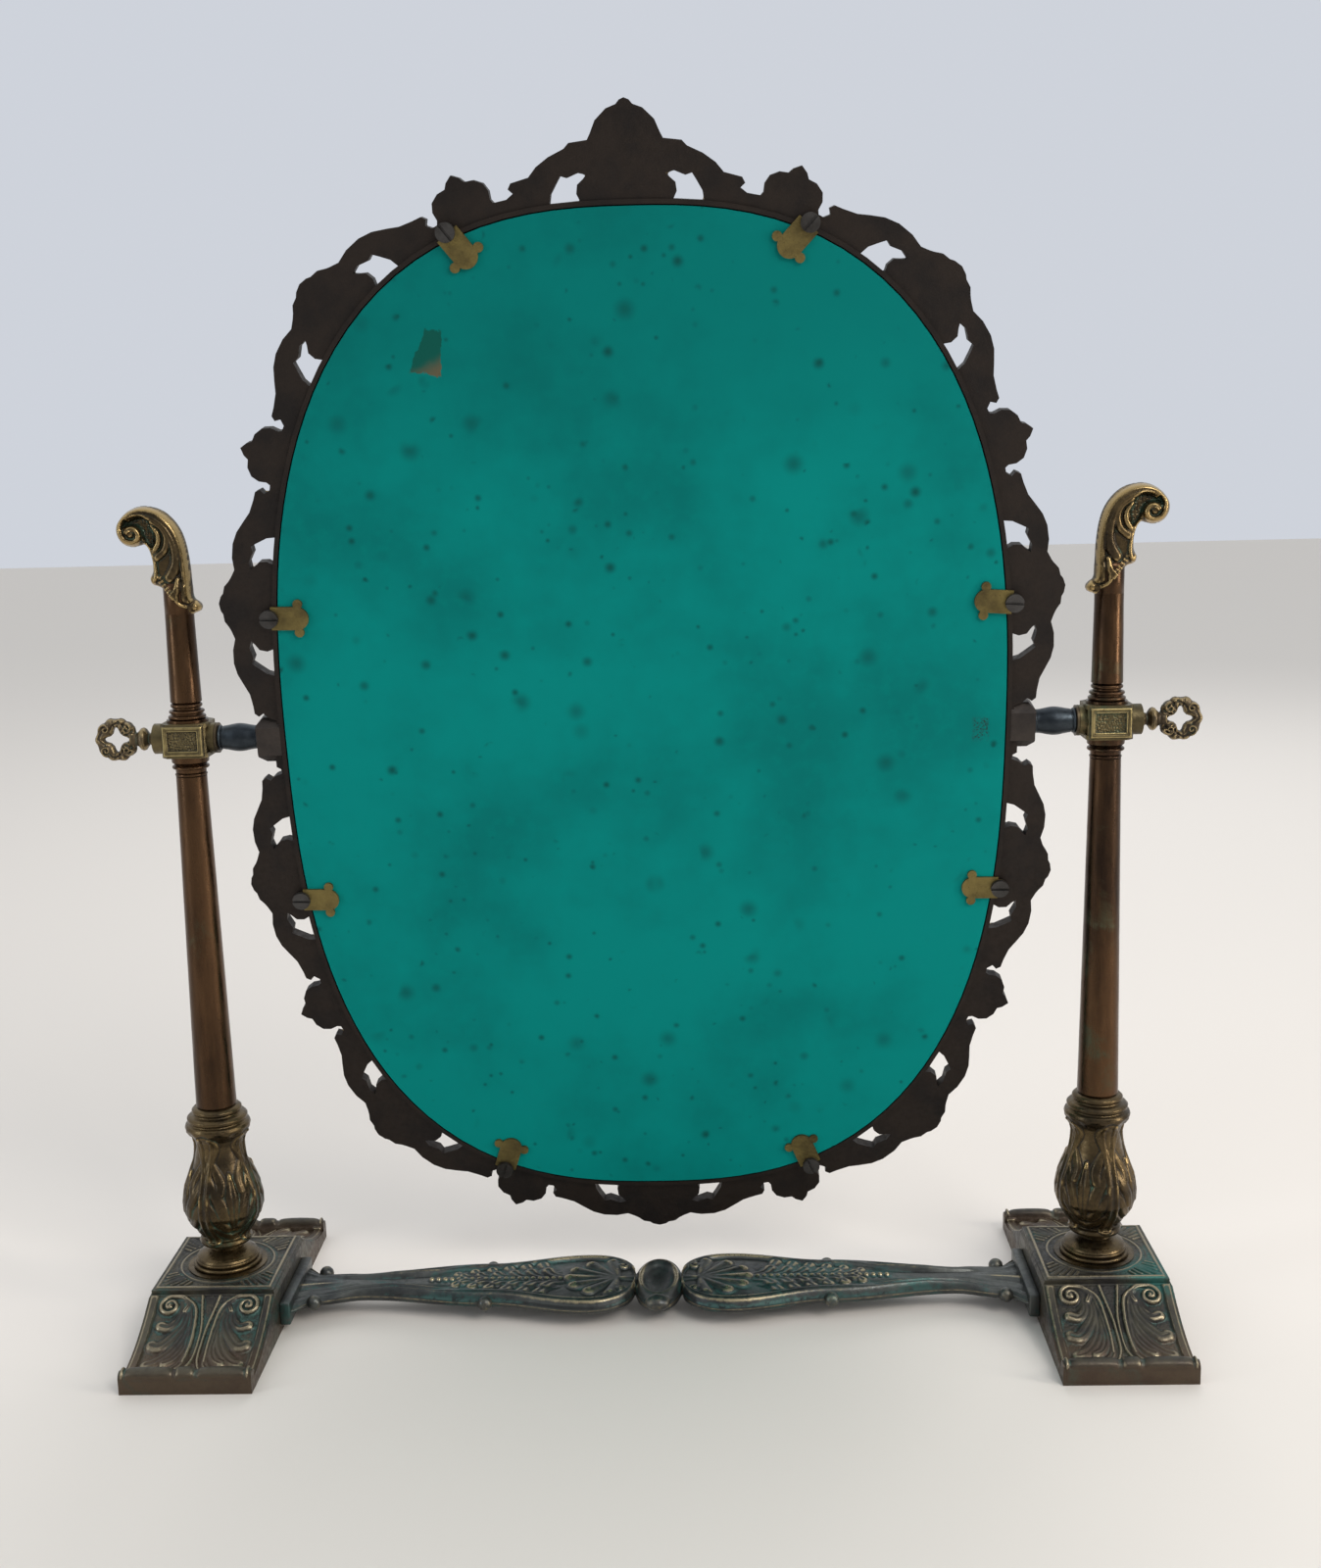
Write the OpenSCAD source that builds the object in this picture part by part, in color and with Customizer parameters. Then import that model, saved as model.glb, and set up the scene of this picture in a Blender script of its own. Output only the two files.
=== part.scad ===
// Table mirror on a swivel stand: an oval mirror in an openwork cast frame, swinging between two
// turned posts on saddle-shaped feet, which a flat ornamental stretcher joins.
// X runs along the pivot axis, Z up, and the mirror's reflecting face looks towards +Y.

/* [Stand] */
// Distance between the two posts, axis to axis
post_spacing = 420; // [400:1:520]
// Height of the mirror's pivot axis above the table
pivot_h = 284; // [280:1:360]
// Lean of the mirror as it stands, top towards the back
rest_tilt = 9; // [0:1:20]

/* [Mirror plate] */
// Width of the mirror plate
glass_w = 326; // [260:1:340]
// Height of the mirror plate
glass_h = 462; // [300:1:466]
// Squareness of the oval: 2 is an ellipse, more is squarer
oval_power = 2.6; // [2:0.1:3.5]
// Thickness of the mirror plate
glass_t = 4; // [3:0.5:6]
// Gap between the plate's edge and the rebate around it
glass_gap = 0.6; // [0.3:0.1:1.5]
// How far the plate's centre lies below the pivot axis
frame_drop = 3; // [0:0.5:8]

/* [Mirror frame] */
// Back face of the rim and of the plate, behind the pivot axis
rim_back = 8.4; // [7:0.1:10]
// How far the rim stands proud of the ornament's back
rim_rise = 1.4; // [0.5:0.1:3]
// Width of the rim's wall around the plate
rim_wall = 2; // [1.5:0.1:4]
// Thickness of the openwork ornament
ornament_t = 6; // [4:0.5:8]
// Thickness of the front lip that the plate rests on
lip_t = 3.5; // [2:0.5:6]
// How far the front lip reaches over the plate
lip_reach = 4.5; // [2:0.5:8]
// Width of the plain band that carries the ornament
band_w = 6; // [4.5:0.5:9]
// Height of the crest above the plate's edge
crest_h = 41.5; // [30:0.5:60]
// Height of the shells above the plate's edge
shell_h = 26.5; // [20:0.5:34]
// Height of the leaf buds above the plate's edge
bud_h = 23; // [16:0.5:28]

/* [Clips] */
// Thickness of the brass clips
clip_t = 1.2; // [0.8:0.1:2]
// Width of a clip
clip_w = 10.5; // [8:0.5:14]
// Length of a clip, from its screw to its rounded tip
clip_l = 17.5; // [14:0.5:24]
// Radius of the clip screw's shank
screw_r = 1.6; // [1.2:0.1:2.2]
// Radius of the clip screw's head
screw_head_r = 4.1; // [3:0.1:5]
// Height of the clip screw's head
screw_head_h = 2; // [1.2:0.1:3]
// Distance of the clip screws outside the plate's edge
screw_out = 3.6; // [2.6:0.1:5]

/* [Pivots] */
// Width of the lug block along the pivot axis
lug_w = 13; // [10:0.5:18]
// Height of the lug block
lug_h = 21; // [16:0.5:26]
// Thickness of the lug block, front to back
lug_t = 17; // [14:0.5:20]
// Largest radius of the pivot barrel
barrel_r = 6.5; // [5.5:0.1:8]
// Radius of the barrel's spigot, which turns in the block
spigot_r = 4; // [3:0.1:5]
// Length of the spigot inside the block
spigot_l = 9; // [6:0.5:11]
// Radial clearance of turning fits
turn_fit = 0.05; // [0.03:0.01:0.1]
// Radius of the clamp screw's shank
clamp_r = 2.5; // [2:0.1:3]
// Thickness of the friction washers
washer_t = 1; // [0.6:0.1:2]
// Gap between faces that turn against each other
face_gap = 0.2; // [0.1:0.05:0.5]
// Radius of the openwork knob of the thumb screw
knob_r = 10.2; // [8:0.1:13]
// Thickness of the knob's ring
knob_t = 6; // [4:0.5:8]
// Length of the thumb screw's neck, from the block to the knob
neck_l = 7.5; // [7:0.1:16]

/* [Posts] */
// Width of the pivot block across its near and far faces
block_w = 21; // [18:0.5:26]
// Height of the pivot block
block_h = 15.7; // [14:0.1:20]
// Length of the round boss on the block's inner side
boss_l = 2.5; // [2:0.5:5]
// Length of the round boss on the block's outer side
outer_boss_l = 5; // [3:0.5:7]
// Radius of the bosses
boss_r = 7; // [6:0.1:8]
// Radius of the lower column at its top
column_top_r = 7; // [6:0.1:9]
// Radius of the lower column at its foot
column_foot_r = 9.5; // [7.5:0.1:11]
// Radius of the upper tube at its foot
tube_foot_r = 7.1; // [6:0.1:8]
// Radius of the upper tube at its top
tube_top_r = 6.5; // [5.5:0.1:7.5]
// Length of the upper tube up to the finial
tube_l = 41; // [30:1:60]
// Height of the upper collar
upper_collar_h = 8.6; // [6:0.1:12]
// Height of the lower collar
lower_collar_h = 9.6; // [6:0.1:12]
// Height of the baluster
baluster_h = 71; // [50:1:90]
// Largest radius of the baluster
baluster_r = 18.4; // [15:0.1:22]
// Height of the domed disc under the baluster
disc_h = 10.5; // [8:0.5:14]
// Radius of the domed disc
disc_r = 18.8; // [15:0.1:21]
// Radius of the tie rods inside the posts
rod_r = 3; // [2.5:0.1:3.5]
// Radial clearance around the tie rods
rod_gap = 0.3; // [0.2:0.1:0.6]
// Radius of the finial's volute
volute_r = 9.1; // [7:0.1:10]
// Thickness of the finial, front to back
finial_t = 13; // [10:0.5:16]

/* [Feet] */
// Length of a foot, front to back
foot_l = 160; // [140:1:200]
// Width of a foot
foot_w = 60; // [56:1:72]
// Height of the foot's top plate above the table
plate_h = 24.5; // [22:0.5:30]
// Length and width of the square top plate
plate_w = 58; // [54:0.5:60]
// Height of the rolled toes
toe_h = 10.2; // [9:0.1:14]
// Radius of the roll along each toe
roll_r = 3; // [2:0.1:4]
// Wall thickness of the foot casting
foot_wall = 5; // [4:0.5:7]

/* [Stretcher] */
// Thickness of the stretcher
bar_t = 6; // [5:0.5:9]
// Height of the stretcher's underside above the table
bar_z = 7.5; // [5:0.5:10]
// Half-width of the round boss at the middle
hub_half = 25; // [18:0.5:30]
// Half-width of the two cartouches
cartouche_half = 26; // [18:0.5:32]
// Half-width of the slender necks
neck_half = 9; // [6:0.5:12]
// Half-width of the end flanges
flange_half = 25; // [20:0.5:28]
// Height of the end flanges
flange_h = 11; // [9:0.5:14]

/* [Hidden] */
$fn = 64;
eps = 0.01;
half = post_spacing / 2;
SIDES = [["left", -1], ["right", 1]];

// ---- the oval and what is measured along it ----
oval_a = glass_w / 2;
oval_b = glass_h / 2;
oval_steps = 720;
function oval_power_of(v, p) = sign(v) * pow(abs(v), p);
function oval_xy(t) = [oval_a * oval_power_of(cos(t), 2 / oval_power),
                       oval_b * oval_power_of(sin(t), 2 / oval_power)];
function oval_normal(p) = let (g = [oval_power_of(p.x / oval_a, oval_power - 1) / oval_a,
                                    oval_power_of(p.y / oval_b, oval_power - 1) / oval_b]) g / norm(g);
arc_table = [for (i = 0, s = 0; i <= oval_steps;
                  s = s + norm(oval_xy((i + 1) * 360 / oval_steps) - oval_xy(i * 360 / oval_steps)),
                  i = i + 1) [s, i * 360 / oval_steps]];
perimeter = arc_table[oval_steps][0];
// Point at arc length s from the right-hand end of the oval, h outside it
function edge(s, h) = let (p = oval_xy(lookup(s - perimeter * floor(s / perimeter), arc_table)))
    p + h * oval_normal(p);
ring_steps = 128;
function ring(h) = [for (i = [0:ring_steps - 1]) edge(i * perimeter / ring_steps, h)];

// ---- the ornament: twenty bays around the oval, numbered from the right-hand lug ----
bays = 20;
bay_l = perimeter / bays;
crest_bay = bays / 4;
lug_bays = [0, bays / 2];
// Half outlines, [along the rim in a bay 65 long, above the plate's edge as a share of the height]
SHELL = [[0, 1], [3, 0.97], [4.5, 0.93], [7.5, 0.91], [9.8, 0.84], [11.6, 0.8], [15, 0.745], [20, 0.79],
         [26, 0.79], [31, 0.74], [36, 0.64], [40, 0.56], [45.5, 0.52], [49, 0.51], [50.4, 0.44], [49, 0.36],
         [51, 0.28]];
CREST = [[0, 1], [1.5, 0.98], [3, 0.94], [7, 0.905], [11.3, 0.8], [13.4, 0.68], [14.6, 0.625], [21.5, 0.61],
         [23.5, 0.56], [29.5, 0.5], [34.5, 0.425], [38, 0.34], [45, 0.32], [46.5, 0.27], [45, 0.22],
         [48, 0.18]];
BUD = [[0, 1], [2.5, 0.91], [3.7, 0.82], [6.9, 0.8], [10, 0.7], [11.3, 0.55], [11, 0.4], [11.8, 0.33]];
// Half outline of the band beside a lug block, as a share of the band's width
LUG = [[0, 1], [9.5, 1], [10.5, 0.7], [12.5, 0.6]];
// The pierced hole between a shell and its scroll, [along the rim likewise, above the plate's edge]
HOLE = [[18.6, 0], [20.2, 5.5], [19.6, 9], [17.2, 11], [15.8, 12.6], [19, 13.5], [23.4, 11.9], [25.9, 12.9],
        [27.7, 10.3], [30.4, 6.3], [31.6, 0]];
function both_ways(pts) = [for (i = [len(pts) - 1:-1:1]) [-pts[i].x, pts[i].y], for (p = pts) p];
function along_rim(x) = x * bay_l / 65;
function scaled(pts, h) = [for (p = pts) [along_rim(p.x), p.y * h]];
function is_shell(k) = k % 2 == 1;
function is_lug(k) = k == lug_bays[0] || k == lug_bays[1];
function bay_outline(k) = k == crest_bay ? both_ways(scaled(CREST, crest_h))
    : is_shell(k) ? both_ways(scaled(SHELL, shell_h))
    : both_ways(is_lug(k) ? scaled(LUG, band_w) : scaled(BUD, bud_h));
ornament_outline = [for (k = [0:bays - 1]) for (p = bay_outline(k)) edge(k * bay_l + p.x, p.y)];

// ---- depths in the mirror's own frame, where y = 0 is the pivot axis and -y is the back ----
glass_front = -rim_back + glass_t;
ornament_back = -rim_back + rim_rise;
rim_out = glass_gap + rim_wall;
lug_in = oval_a + glass_gap;
lug_out = lug_in + lug_w;
barrel_stem_r = 3.5;
barrel_stem_l = lug_w - band_w;
block_in = block_w / 2 + boss_l;
block_out = block_w / 2 + outer_boss_l;
barrel_end = half - block_in - face_gap - washer_t;
thread_l = 8;

// Clips: [share of the quarter oval from its wide end, quadrant signs x and y, turn]
CLIPS = [[0.77, 1, 1, -20], [0.186, 1, 1, -9], [0.229, 1, -1, 6], [0.767, 1, -1, -2],
         [0.77, -1, 1, 15], [0.186, -1, 1, 4], [0.229, -1, -1, -8], [0.767, -1, -1, 6]];
function clip_at(c, h) = let (p = edge(c[0] * perimeter / 4, h)) [c[1] * p.x, c[2] * p.y];
function clip_turn(c) = let (d = clip_at(c, 0) - clip_at(c, 1)) atan2(d.y, d.x) + c[3];

// ---- heights on the posts ----
block_top = pivot_h + block_h / 2;
block_foot = pivot_h - block_h / 2;
tube_foot = block_top + upper_collar_h;
tube_top = tube_foot + tube_l;
column_top = block_foot - lower_collar_h;
disc_top = plate_h + disc_h;
baluster_top = disc_top + baluster_h;
rod_hold = 4.6;
clamp_in = 7;
foot_boss_z = 8.5;
nut_h = 5;
nut_washer_t = 1.2;
sleeve_gap = 0.35;

// Points that ease smoothly from a to b, both [radius, height], without the last one
function ease(a, b, n = 8) = [for (i = [0:n - 1]) let (t = i / n)
    [a.x + (b.x - a.x) * (1 - cos(180 * t)) / 2, a.y + (b.y - a.y) * t]];
// Half-round bead on radius r between heights z0 and z1
function bead(r, z0, z1, n = 8) = [for (i = [0:n]) let (t = -90 + 180 * i / n)
    [r + (z1 - z0) / 2 * cos(t), (z0 + z1) / 2 + (z1 - z0) / 2 * sin(t)]];

// ---- helpers ----
module turned(outline, bore = 0) {
    last = outline[len(outline) - 1];
    rotate_extrude($fn = 96) polygon([[bore, outline[0].y], each outline, [bore, last.y]]);
}
// Places children at a post, with +x pointing away from the mirror
module at_post(side) {
    translate([side * half, 0, 0]) mirror([side < 0 ? 1 : 0, 0, 0]) children();
}
// Places children in the mirror's own frame, at the lean it stands at
module at_mirror() {
    translate([0, 0, pivot_h]) rotate([rest_tilt, 0, 0]) children();
}
// Extrudes a flat drawing of the mirror, seen from the back, from depth y0 to depth y1
module slab(y0, y1) {
    translate([0, y1, 0]) rotate([90, 0, 0]) linear_extrude(y1 - y0) translate([0, -frame_drop]) children();
}
// Cylinder along x from x0 to x1 at the pivot axis
module along_x(r, x0, x1) {
    translate([x0, 0, 0]) rotate([0, 90, 0]) cylinder(r = r, h = x1 - x0);
}
// Turns an outline of [radius, x] points about the x axis
module turned_x(outline, bore = 0) {
    rotate([0, 90, 0]) turned(outline, bore);
}

// ---- mirror ----
module holes() {
    for (k = [1:2:bays - 1], m = [-1, 1])
        polygon([for (p = HOLE) edge(k * bay_l + m * along_rim(p.x), max(p.y, glass_gap + rim_wall / 2))]);
}
// Flat ring around the plate, from h0 to h1 outside its edge
module rim_ring(h0, h1) difference() {
    polygon(ring(h1));
    polygon(ring(h0));
}
module mirror_frame() color("#3a2a22") at_mirror() difference() {
    union() {
        slab(ornament_back, ornament_back + ornament_t) difference() {
            polygon(ornament_outline);
            polygon(ring(glass_gap + rim_wall / 4));
            holes();
        }
        slab(-rim_back, glass_front) rim_ring(glass_gap, rim_out);
        slab(glass_front, glass_front + lip_t) rim_ring(-lip_reach, rim_out);
        for (c = CLIPS) clip_post(c);
    }
    for (c = CLIPS) on_clip(c) translate([0, 0, -clip_t - eps]) mirror([0, 0, 1])
        cylinder(r = screw_r, h = thread_l);
}
// Frame of a clip: origin at its screw on the clip's back face, +x along the clip, +z out of the back
module on_clip(c) {
    p = clip_at(c, screw_out);
    translate([p.x, -rim_back - clip_t, p.y - frame_drop]) rotate([90, 0, 0]) rotate([0, 0, clip_turn(c)])
        children();
}
module clip_post(c) {
    post_r = screw_out - glass_gap - 0.2;
    on_clip(c) translate([0, 0, -clip_t]) mirror([0, 0, 1])
        cylinder(r = post_r, h = rim_rise + ornament_t / 2);
}
module mirror_glass() color("#0f8573") at_mirror() slab(-rim_back, glass_front) polygon(ring(0));
module clip_plate() {
    ear_r = 2.1;
    ear_x = clip_l - 4.5;
    linear_extrude(clip_t) difference() {
        union() {
            circle(r = screw_head_r - 0.3);
            translate([0.8, -clip_w / 2]) square([clip_l - clip_w / 2 - 0.8, clip_w]);
            translate([clip_l - clip_w / 2, 0]) circle(r = clip_w / 2);
            for (m = [-1, 1]) translate([ear_x, m * (clip_w / 2 + 1.2)]) circle(r = ear_r, $fn = 32);
        }
        circle(r = screw_r + 0.2, $fn = 32);
    }
}
module glass_clips() color("#a5822f") at_mirror() for (c = CLIPS) on_clip(c)
    mirror([0, 0, 1]) clip_plate();
module slotted_screw(r, head_r, head_h, shank) {
    slot_w = 1.2;
    difference() {
        union() {
            cylinder(r = head_r, h = head_h);
            translate([0, 0, -shank]) cylinder(r = r, h = shank);
        }
        translate([-head_r - 1, -slot_w / 2, head_h - 1]) cube([2 * head_r + 2, slot_w, 2]);
    }
}
module clip_screws() color("#3c3f42") at_mirror() for (c = CLIPS) on_clip(c)
    slotted_screw(screw_r, screw_head_r, screw_head_h, thread_l);

// ---- pivots, drawn on the right and mirrored for the left ----
module at_mirror_side(side) {
    at_mirror() mirror([side < 0 ? 1 : 0, 0, 0]) children();
}
module pivot_lug(side) color("#4b4643") at_mirror_side(side) difference() {
    bevel = 4;
    lug_l = lug_w - rim_wall;
    intersection() {
        translate([lug_out - lug_l, 0, 0]) rotate([0, 90, 0]) linear_extrude(lug_l)
            octagon(lug_h / 2, lug_t / 2, bevel, [1, 1, 1, 1]);
        translate([lug_out - lug_l, lug_t / 2 + 1, 0]) rotate([90, 0, 0]) linear_extrude(lug_t + 2)
            octagon(lug_l, lug_h / 2, 3, [1, 0, 0, 1]);
    }
    along_x(barrel_stem_r, lug_out - barrel_stem_l, lug_out + 1);
    ornament_pocket();
}
// Rectangle from -a to a and -b to b, its corners cut by c where cut is 1, anticlockwise from +a, +b
module octagon(a, b, c, cut) {
    polygon([[a, b - c * cut[0]], [a - c * cut[0], b], [-a + c * cut[1], b], [-a, b - c * cut[1]],
             [-a, -b + c * cut[2]], [-a + c * cut[2], -b], [a - c * cut[3], -b], [a, -b + c * cut[3]]]);
}
// The space that the frame's band takes out of the lug block
module ornament_pocket() {
    slab(ornament_back, ornament_back + ornament_t) polygon(ornament_outline);
    slab(-rim_back, glass_front + lip_t) polygon(ring(rim_out));
}
module pivot_barrel(side) color("#3b4148") at_mirror_side(side) difference() {
    ring_w = 1.4;
    l0 = lug_out;
    l1 = barrel_end;
    union() {
        turned_x([each bead(barrel_r - 1.4, l0, l0 + ring_w),
                  each ease([barrel_r - 1.1, l0 + ring_w], [barrel_r, (l0 + l1) / 2]),
                  each ease([barrel_r, (l0 + l1) / 2], [barrel_r - 1.1, l1 - ring_w]),
                  each bead(barrel_r - 1.4, l1 - ring_w, l1)]);
        along_x(barrel_stem_r, l0 - barrel_stem_l, l0 + 1);
        along_x(spigot_r, l1 - 1, half - block_in + spigot_l);
    }
    along_x(clamp_r + turn_fit, half - block_in + spigot_l - thread_l, half - block_in + spigot_l + 1);
}
module friction_washer(side) color("#6b5a3a") at_mirror_side(side) difference() {
    along_x(boss_r, barrel_end, barrel_end + washer_t);
    along_x(spigot_r, barrel_end - 1, barrel_end + washer_t + 1);
}
neck_x = block_out + face_gap;
knob_x = block_out + neck_l + knob_r;
module clamp_knob(side) color("#6a5433") at_post(side) translate([0, 0, pivot_h]) difference() {
    union() {
        translate([knob_x, 0, 0]) rotate([90, 0, 0]) cylinder(r = knob_r, h = knob_t, center = true);
        turned_x([[4, neck_x], [3.2, neck_x + 2], each bead(3, neck_x + 3, neck_x + 7.4),
                  [3.2, neck_x + 8], [3.2, knob_x - knob_r + 2]]);
    }
    for (a = [0, 90]) translate([knob_x, 0, 0]) rotate([0, a, 0]) cube([4, knob_t + 2, 10], center = true);
    along_x(clamp_r, 0, neck_x + 6);
}
module clamp_screw(side) color("#54504a") at_post(side) translate([0, 0, pivot_h])
    along_x(clamp_r, -block_in + spigot_l - clamp_in, neck_x + 6);

// ---- posts ----
module pivot_block(side) color("#6b5c38") at_post(side) translate([0, 0, pivot_h]) difference() {
    chamfer = 3;
    slab_h = 2;
    union() {
        for (z = [[-block_h / 2, slab_h, 0], [-block_h / 2 + slab_h, block_h - 2 * slab_h, 0.8],
                  [block_h / 2 - slab_h, slab_h, 0]])
            translate([0, 0, z[0]]) linear_extrude(z[1]) block_plan(block_w / 2 - z[2], chamfer);
        along_x(boss_r, -block_in, block_out);
    }
    along_x(spigot_r + turn_fit, -block_in - 1, -block_in + spigot_l + 0.5);
    along_x(clamp_r + turn_fit, -block_in, block_out + 1);
    for (m = [0, 1]) mirror([0, 0, m]) translate([0, 0, block_h / 2 - rod_hold])
        cylinder(r = rod_r, h = rod_hold + 1);
}
module block_plan(w, c) {
    polygon([for (a = [0:90:270]) each [[cos(a) * w - sin(a) * (w - c), sin(a) * w + cos(a) * (w - c)],
                                        [cos(a) * (w - c) - sin(a) * w, sin(a) * (w - c) + cos(a) * w]]]);
}
module upper_collar(side) color("#7a5a34") at_post(side) translate([0, 0, block_top])
    turned([[9.3, 0], [9.3, 1.2], each bead(7.6, 1.4, 3.2), [7.2, 3.6], each bead(7.2, 4, 5.6),
            [6.2, 6], each bead(6.2, upper_collar_h - 2, upper_collar_h)], rod_r + rod_gap);
module upper_tube(side) color("#8a4f2a") at_post(side) translate([0, 0, tube_foot])
    turned([[tube_foot_r - 0.8, 0], [tube_foot_r, 0.8], [tube_top_r, tube_l - 4], [tube_top_r, tube_l]],
           rod_r + rod_gap);
module lower_collar(side) color("#7a5a34") at_post(side) translate([0, 0, column_top])
    turned([[column_top_r - 0.6, 0], each bead(column_top_r - 0.4, 0.2, 1.6), [6.9, 2], [7, 3.4],
            each bead(7.6, 3.6, 5.2), each ease([7.2, 5.4], [8.6, 7.2], 4), [8.6, lower_collar_h]],
           rod_r + rod_gap);
module column(side) color("#8a4f2a") at_post(side) translate([0, 0, baluster_top])
    turned([[column_foot_r - 0.6, 0], [column_foot_r, 0.8], [column_top_r, column_top - baluster_top]],
           rod_r + rod_gap);
module baluster(side) color("#75602f") at_post(side) translate([0, 0, disc_top]) {
    drawn_h = 71;
    k = baluster_h / drawn_h;
    turned([[7.2, 0], [7.2, 1.6 * k], each bead(10.6, 1.6 * k, 5.2 * k),
            each ease([10.4, 5.6 * k], [baluster_r, 24 * k]), each ease([baluster_r, 24 * k], [11.4, 52 * k]),
            each ease([11.4, 52 * k], [14.7, 60 * k], 5), each bead(13.4, 60.5 * k, 63.5 * k),
            [12.6, 64 * k], each bead(12.4, 64.4 * k, 67.4 * k), each bead(11.6, 67.8 * k, baluster_h)],
           rod_r + rod_gap);
}
module base_disc(side) color("#5f5436") at_post(side) translate([0, 0, plate_h])
    turned([[disc_r, 0], [disc_r, 0.8], [disc_r - 2, 1], each bead(disc_r - 3.6, 1, 3),
            each bead(disc_r - 4.6, 3.2, 5), each ease([disc_r - 4.2, 5.2], [7.4, disc_h], 6), [7.2, disc_h]],
           rod_r + rod_gap);
// Side view of the finial, [outwards from the post's axis, above the tube]
FINIAL = [[-5.3, 0], [-9.5, 2], [-9.6, 4.6], [-7.1, 7.5], [-6.8, 12.7], [-6.5, 21.4], [-5.3, 31.4],
          [-2.8, 38.8], [1.5, 44.4], [6.5, 47.5], [12.7, 48.6], [18, 40], [14.5, 32.5], [11.8, 30.1],
          [10.4, 26], [10, 19], [11.6, 15.8], [10.6, 13.3], [7.3, 12], [6.4, 0]];
module finial(side) color("#80652f") at_post(side) translate([0, 0, tube_top]) difference() {
    sock_h = 8;
    sleeve = 3;
    volute = [16.6, 39.5];
    union() {
        turned([[tube_top_r + 0.8, -sleeve], [tube_top_r + 1.2, 4], [tube_top_r, 14]]);
        rotate([90, 0, 0]) linear_extrude(finial_t, center = true) polygon(FINIAL);
        translate([volute.x, 0, volute.y]) rotate([90, 0, 0])
            cylinder(r = volute_r, h = finial_t + 1, center = true);
    }
    translate([0, 0, -sleeve - 1]) cylinder(r = tube_top_r + sleeve_gap, h = sleeve + 1);
    translate([0, 0, -1]) cylinder(r = rod_r, h = sock_h + 1);
}
module upper_tie_rod(side) color("#54504a") at_post(side)
    translate([0, 0, block_top - rod_hold]) cylinder(r = rod_r, h = rod_hold + upper_collar_h + tube_l + 7);
module lower_tie_rod(side) color("#54504a") at_post(side)
    translate([0, 0, foot_boss_z - nut_washer_t - nut_h - 1])
        cylinder(r = rod_r, h = block_foot + rod_hold - (foot_boss_z - nut_washer_t - nut_h - 1));
module foot_washer(side) color("#6f6f6a") at_post(side) translate([0, 0, foot_boss_z - nut_washer_t])
    turned([[rod_r + 4.5, 0], [rod_r + 4.5, nut_washer_t]], rod_r + rod_gap);
module foot_nut(side) color("#54504a") at_post(side) translate([0, 0, foot_boss_z - nut_washer_t - nut_h])
    difference() {
        cylinder(r = rod_r + 2.8, h = nut_h, $fn = 6);
        translate([0, 0, -1]) cylinder(r = rod_r, h = nut_h + 2);
    }

// ---- feet ----
side_wall = foot_wall + 1;
toe_y = foot_l / 2 - roll_r;
slope_foot = toe_h - 2 * roll_r + 1.6;
// Height of the foot's hollow slope at distance y from its middle
function slope(y) = let (t = (y - plate_w / 2) / (toe_y - roll_r - plate_w / 2))
    slope_foot + (plate_h - 2 - slope_foot) * pow(max(0, 1 - t), 1.7);
slope_ys = [for (i = [0:10]) plate_w / 2 + (toe_y - roll_r - plate_w / 2) * i / 10];
module foot_side() {
    polygon([[0, 0], [0, plate_h], [plate_w / 2, plate_h], for (y = slope_ys) [y, slope(y)],
             [foot_l / 2, toe_h - roll_r], [foot_l / 2, 0]]);
    translate([toe_y, toe_h - roll_r]) circle(r = roll_r);
}
module foot_pocket() {
    web = 16;
    pocket_end = foot_l / 2 - 2 * foot_wall;
    polygon([[web, -1], [web, plate_h - foot_wall], for (y = slope_ys) if (y < pocket_end)
             [y, max(slope(y + foot_wall / 2) - foot_wall, 0.6)], [pocket_end, 0.6], [pocket_end, -1]]);
}
// Extrudes a drawing of the foot's side, [y, z], across width w
module across(w) {
    rotate([90, 0, 90]) linear_extrude(w, center = true) children();
}
module foot(side) color("#4c5a48") at_post(side) difference() {
    intersection() {
        for (m = [0, 1]) mirror([0, m, 0]) across(foot_w) foot_side();
        rotate([90, 0, 0]) linear_extrude(foot_l + 2, center = true)
            polygon([[-plate_w / 2, plate_h + 1], [-plate_w / 2, plate_h - 1], [-foot_w / 2, plate_h - 3],
                     [-foot_w / 2, -1], [foot_w / 2, -1], [foot_w / 2, plate_h - 3],
                     [plate_w / 2, plate_h - 1], [plate_w / 2, plate_h + 1]]);
    }
    for (m = [0, 1]) mirror([0, m, 0]) across(foot_w - 2 * side_wall) foot_pocket();
    translate([0, 0, -1]) cylinder(r = 10, h = foot_boss_z + 1);
    cylinder(r = rod_r + rod_gap, h = plate_h + 1);
    for (y = BAR_SCREWS) translate([-foot_w / 2, y, bar_screw_z]) rotate([0, 90, 0])
        cylinder(r = bar_screw_r + bar_screw_gap, h = 2 * side_wall + 1, center = true);
}

// ---- stretcher ----
bar_half = half - foot_w / 2;
BAR_SCREWS = [-20.5, 20.5];
bar_screw_r = 1.5;
bar_screw_gap = 0.2;
bar_screw_z = bar_z + bar_t / 2 - 1;
flange_l = 5;
bar_screw_l = 3.5;
ball_r = 3.6;
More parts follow.
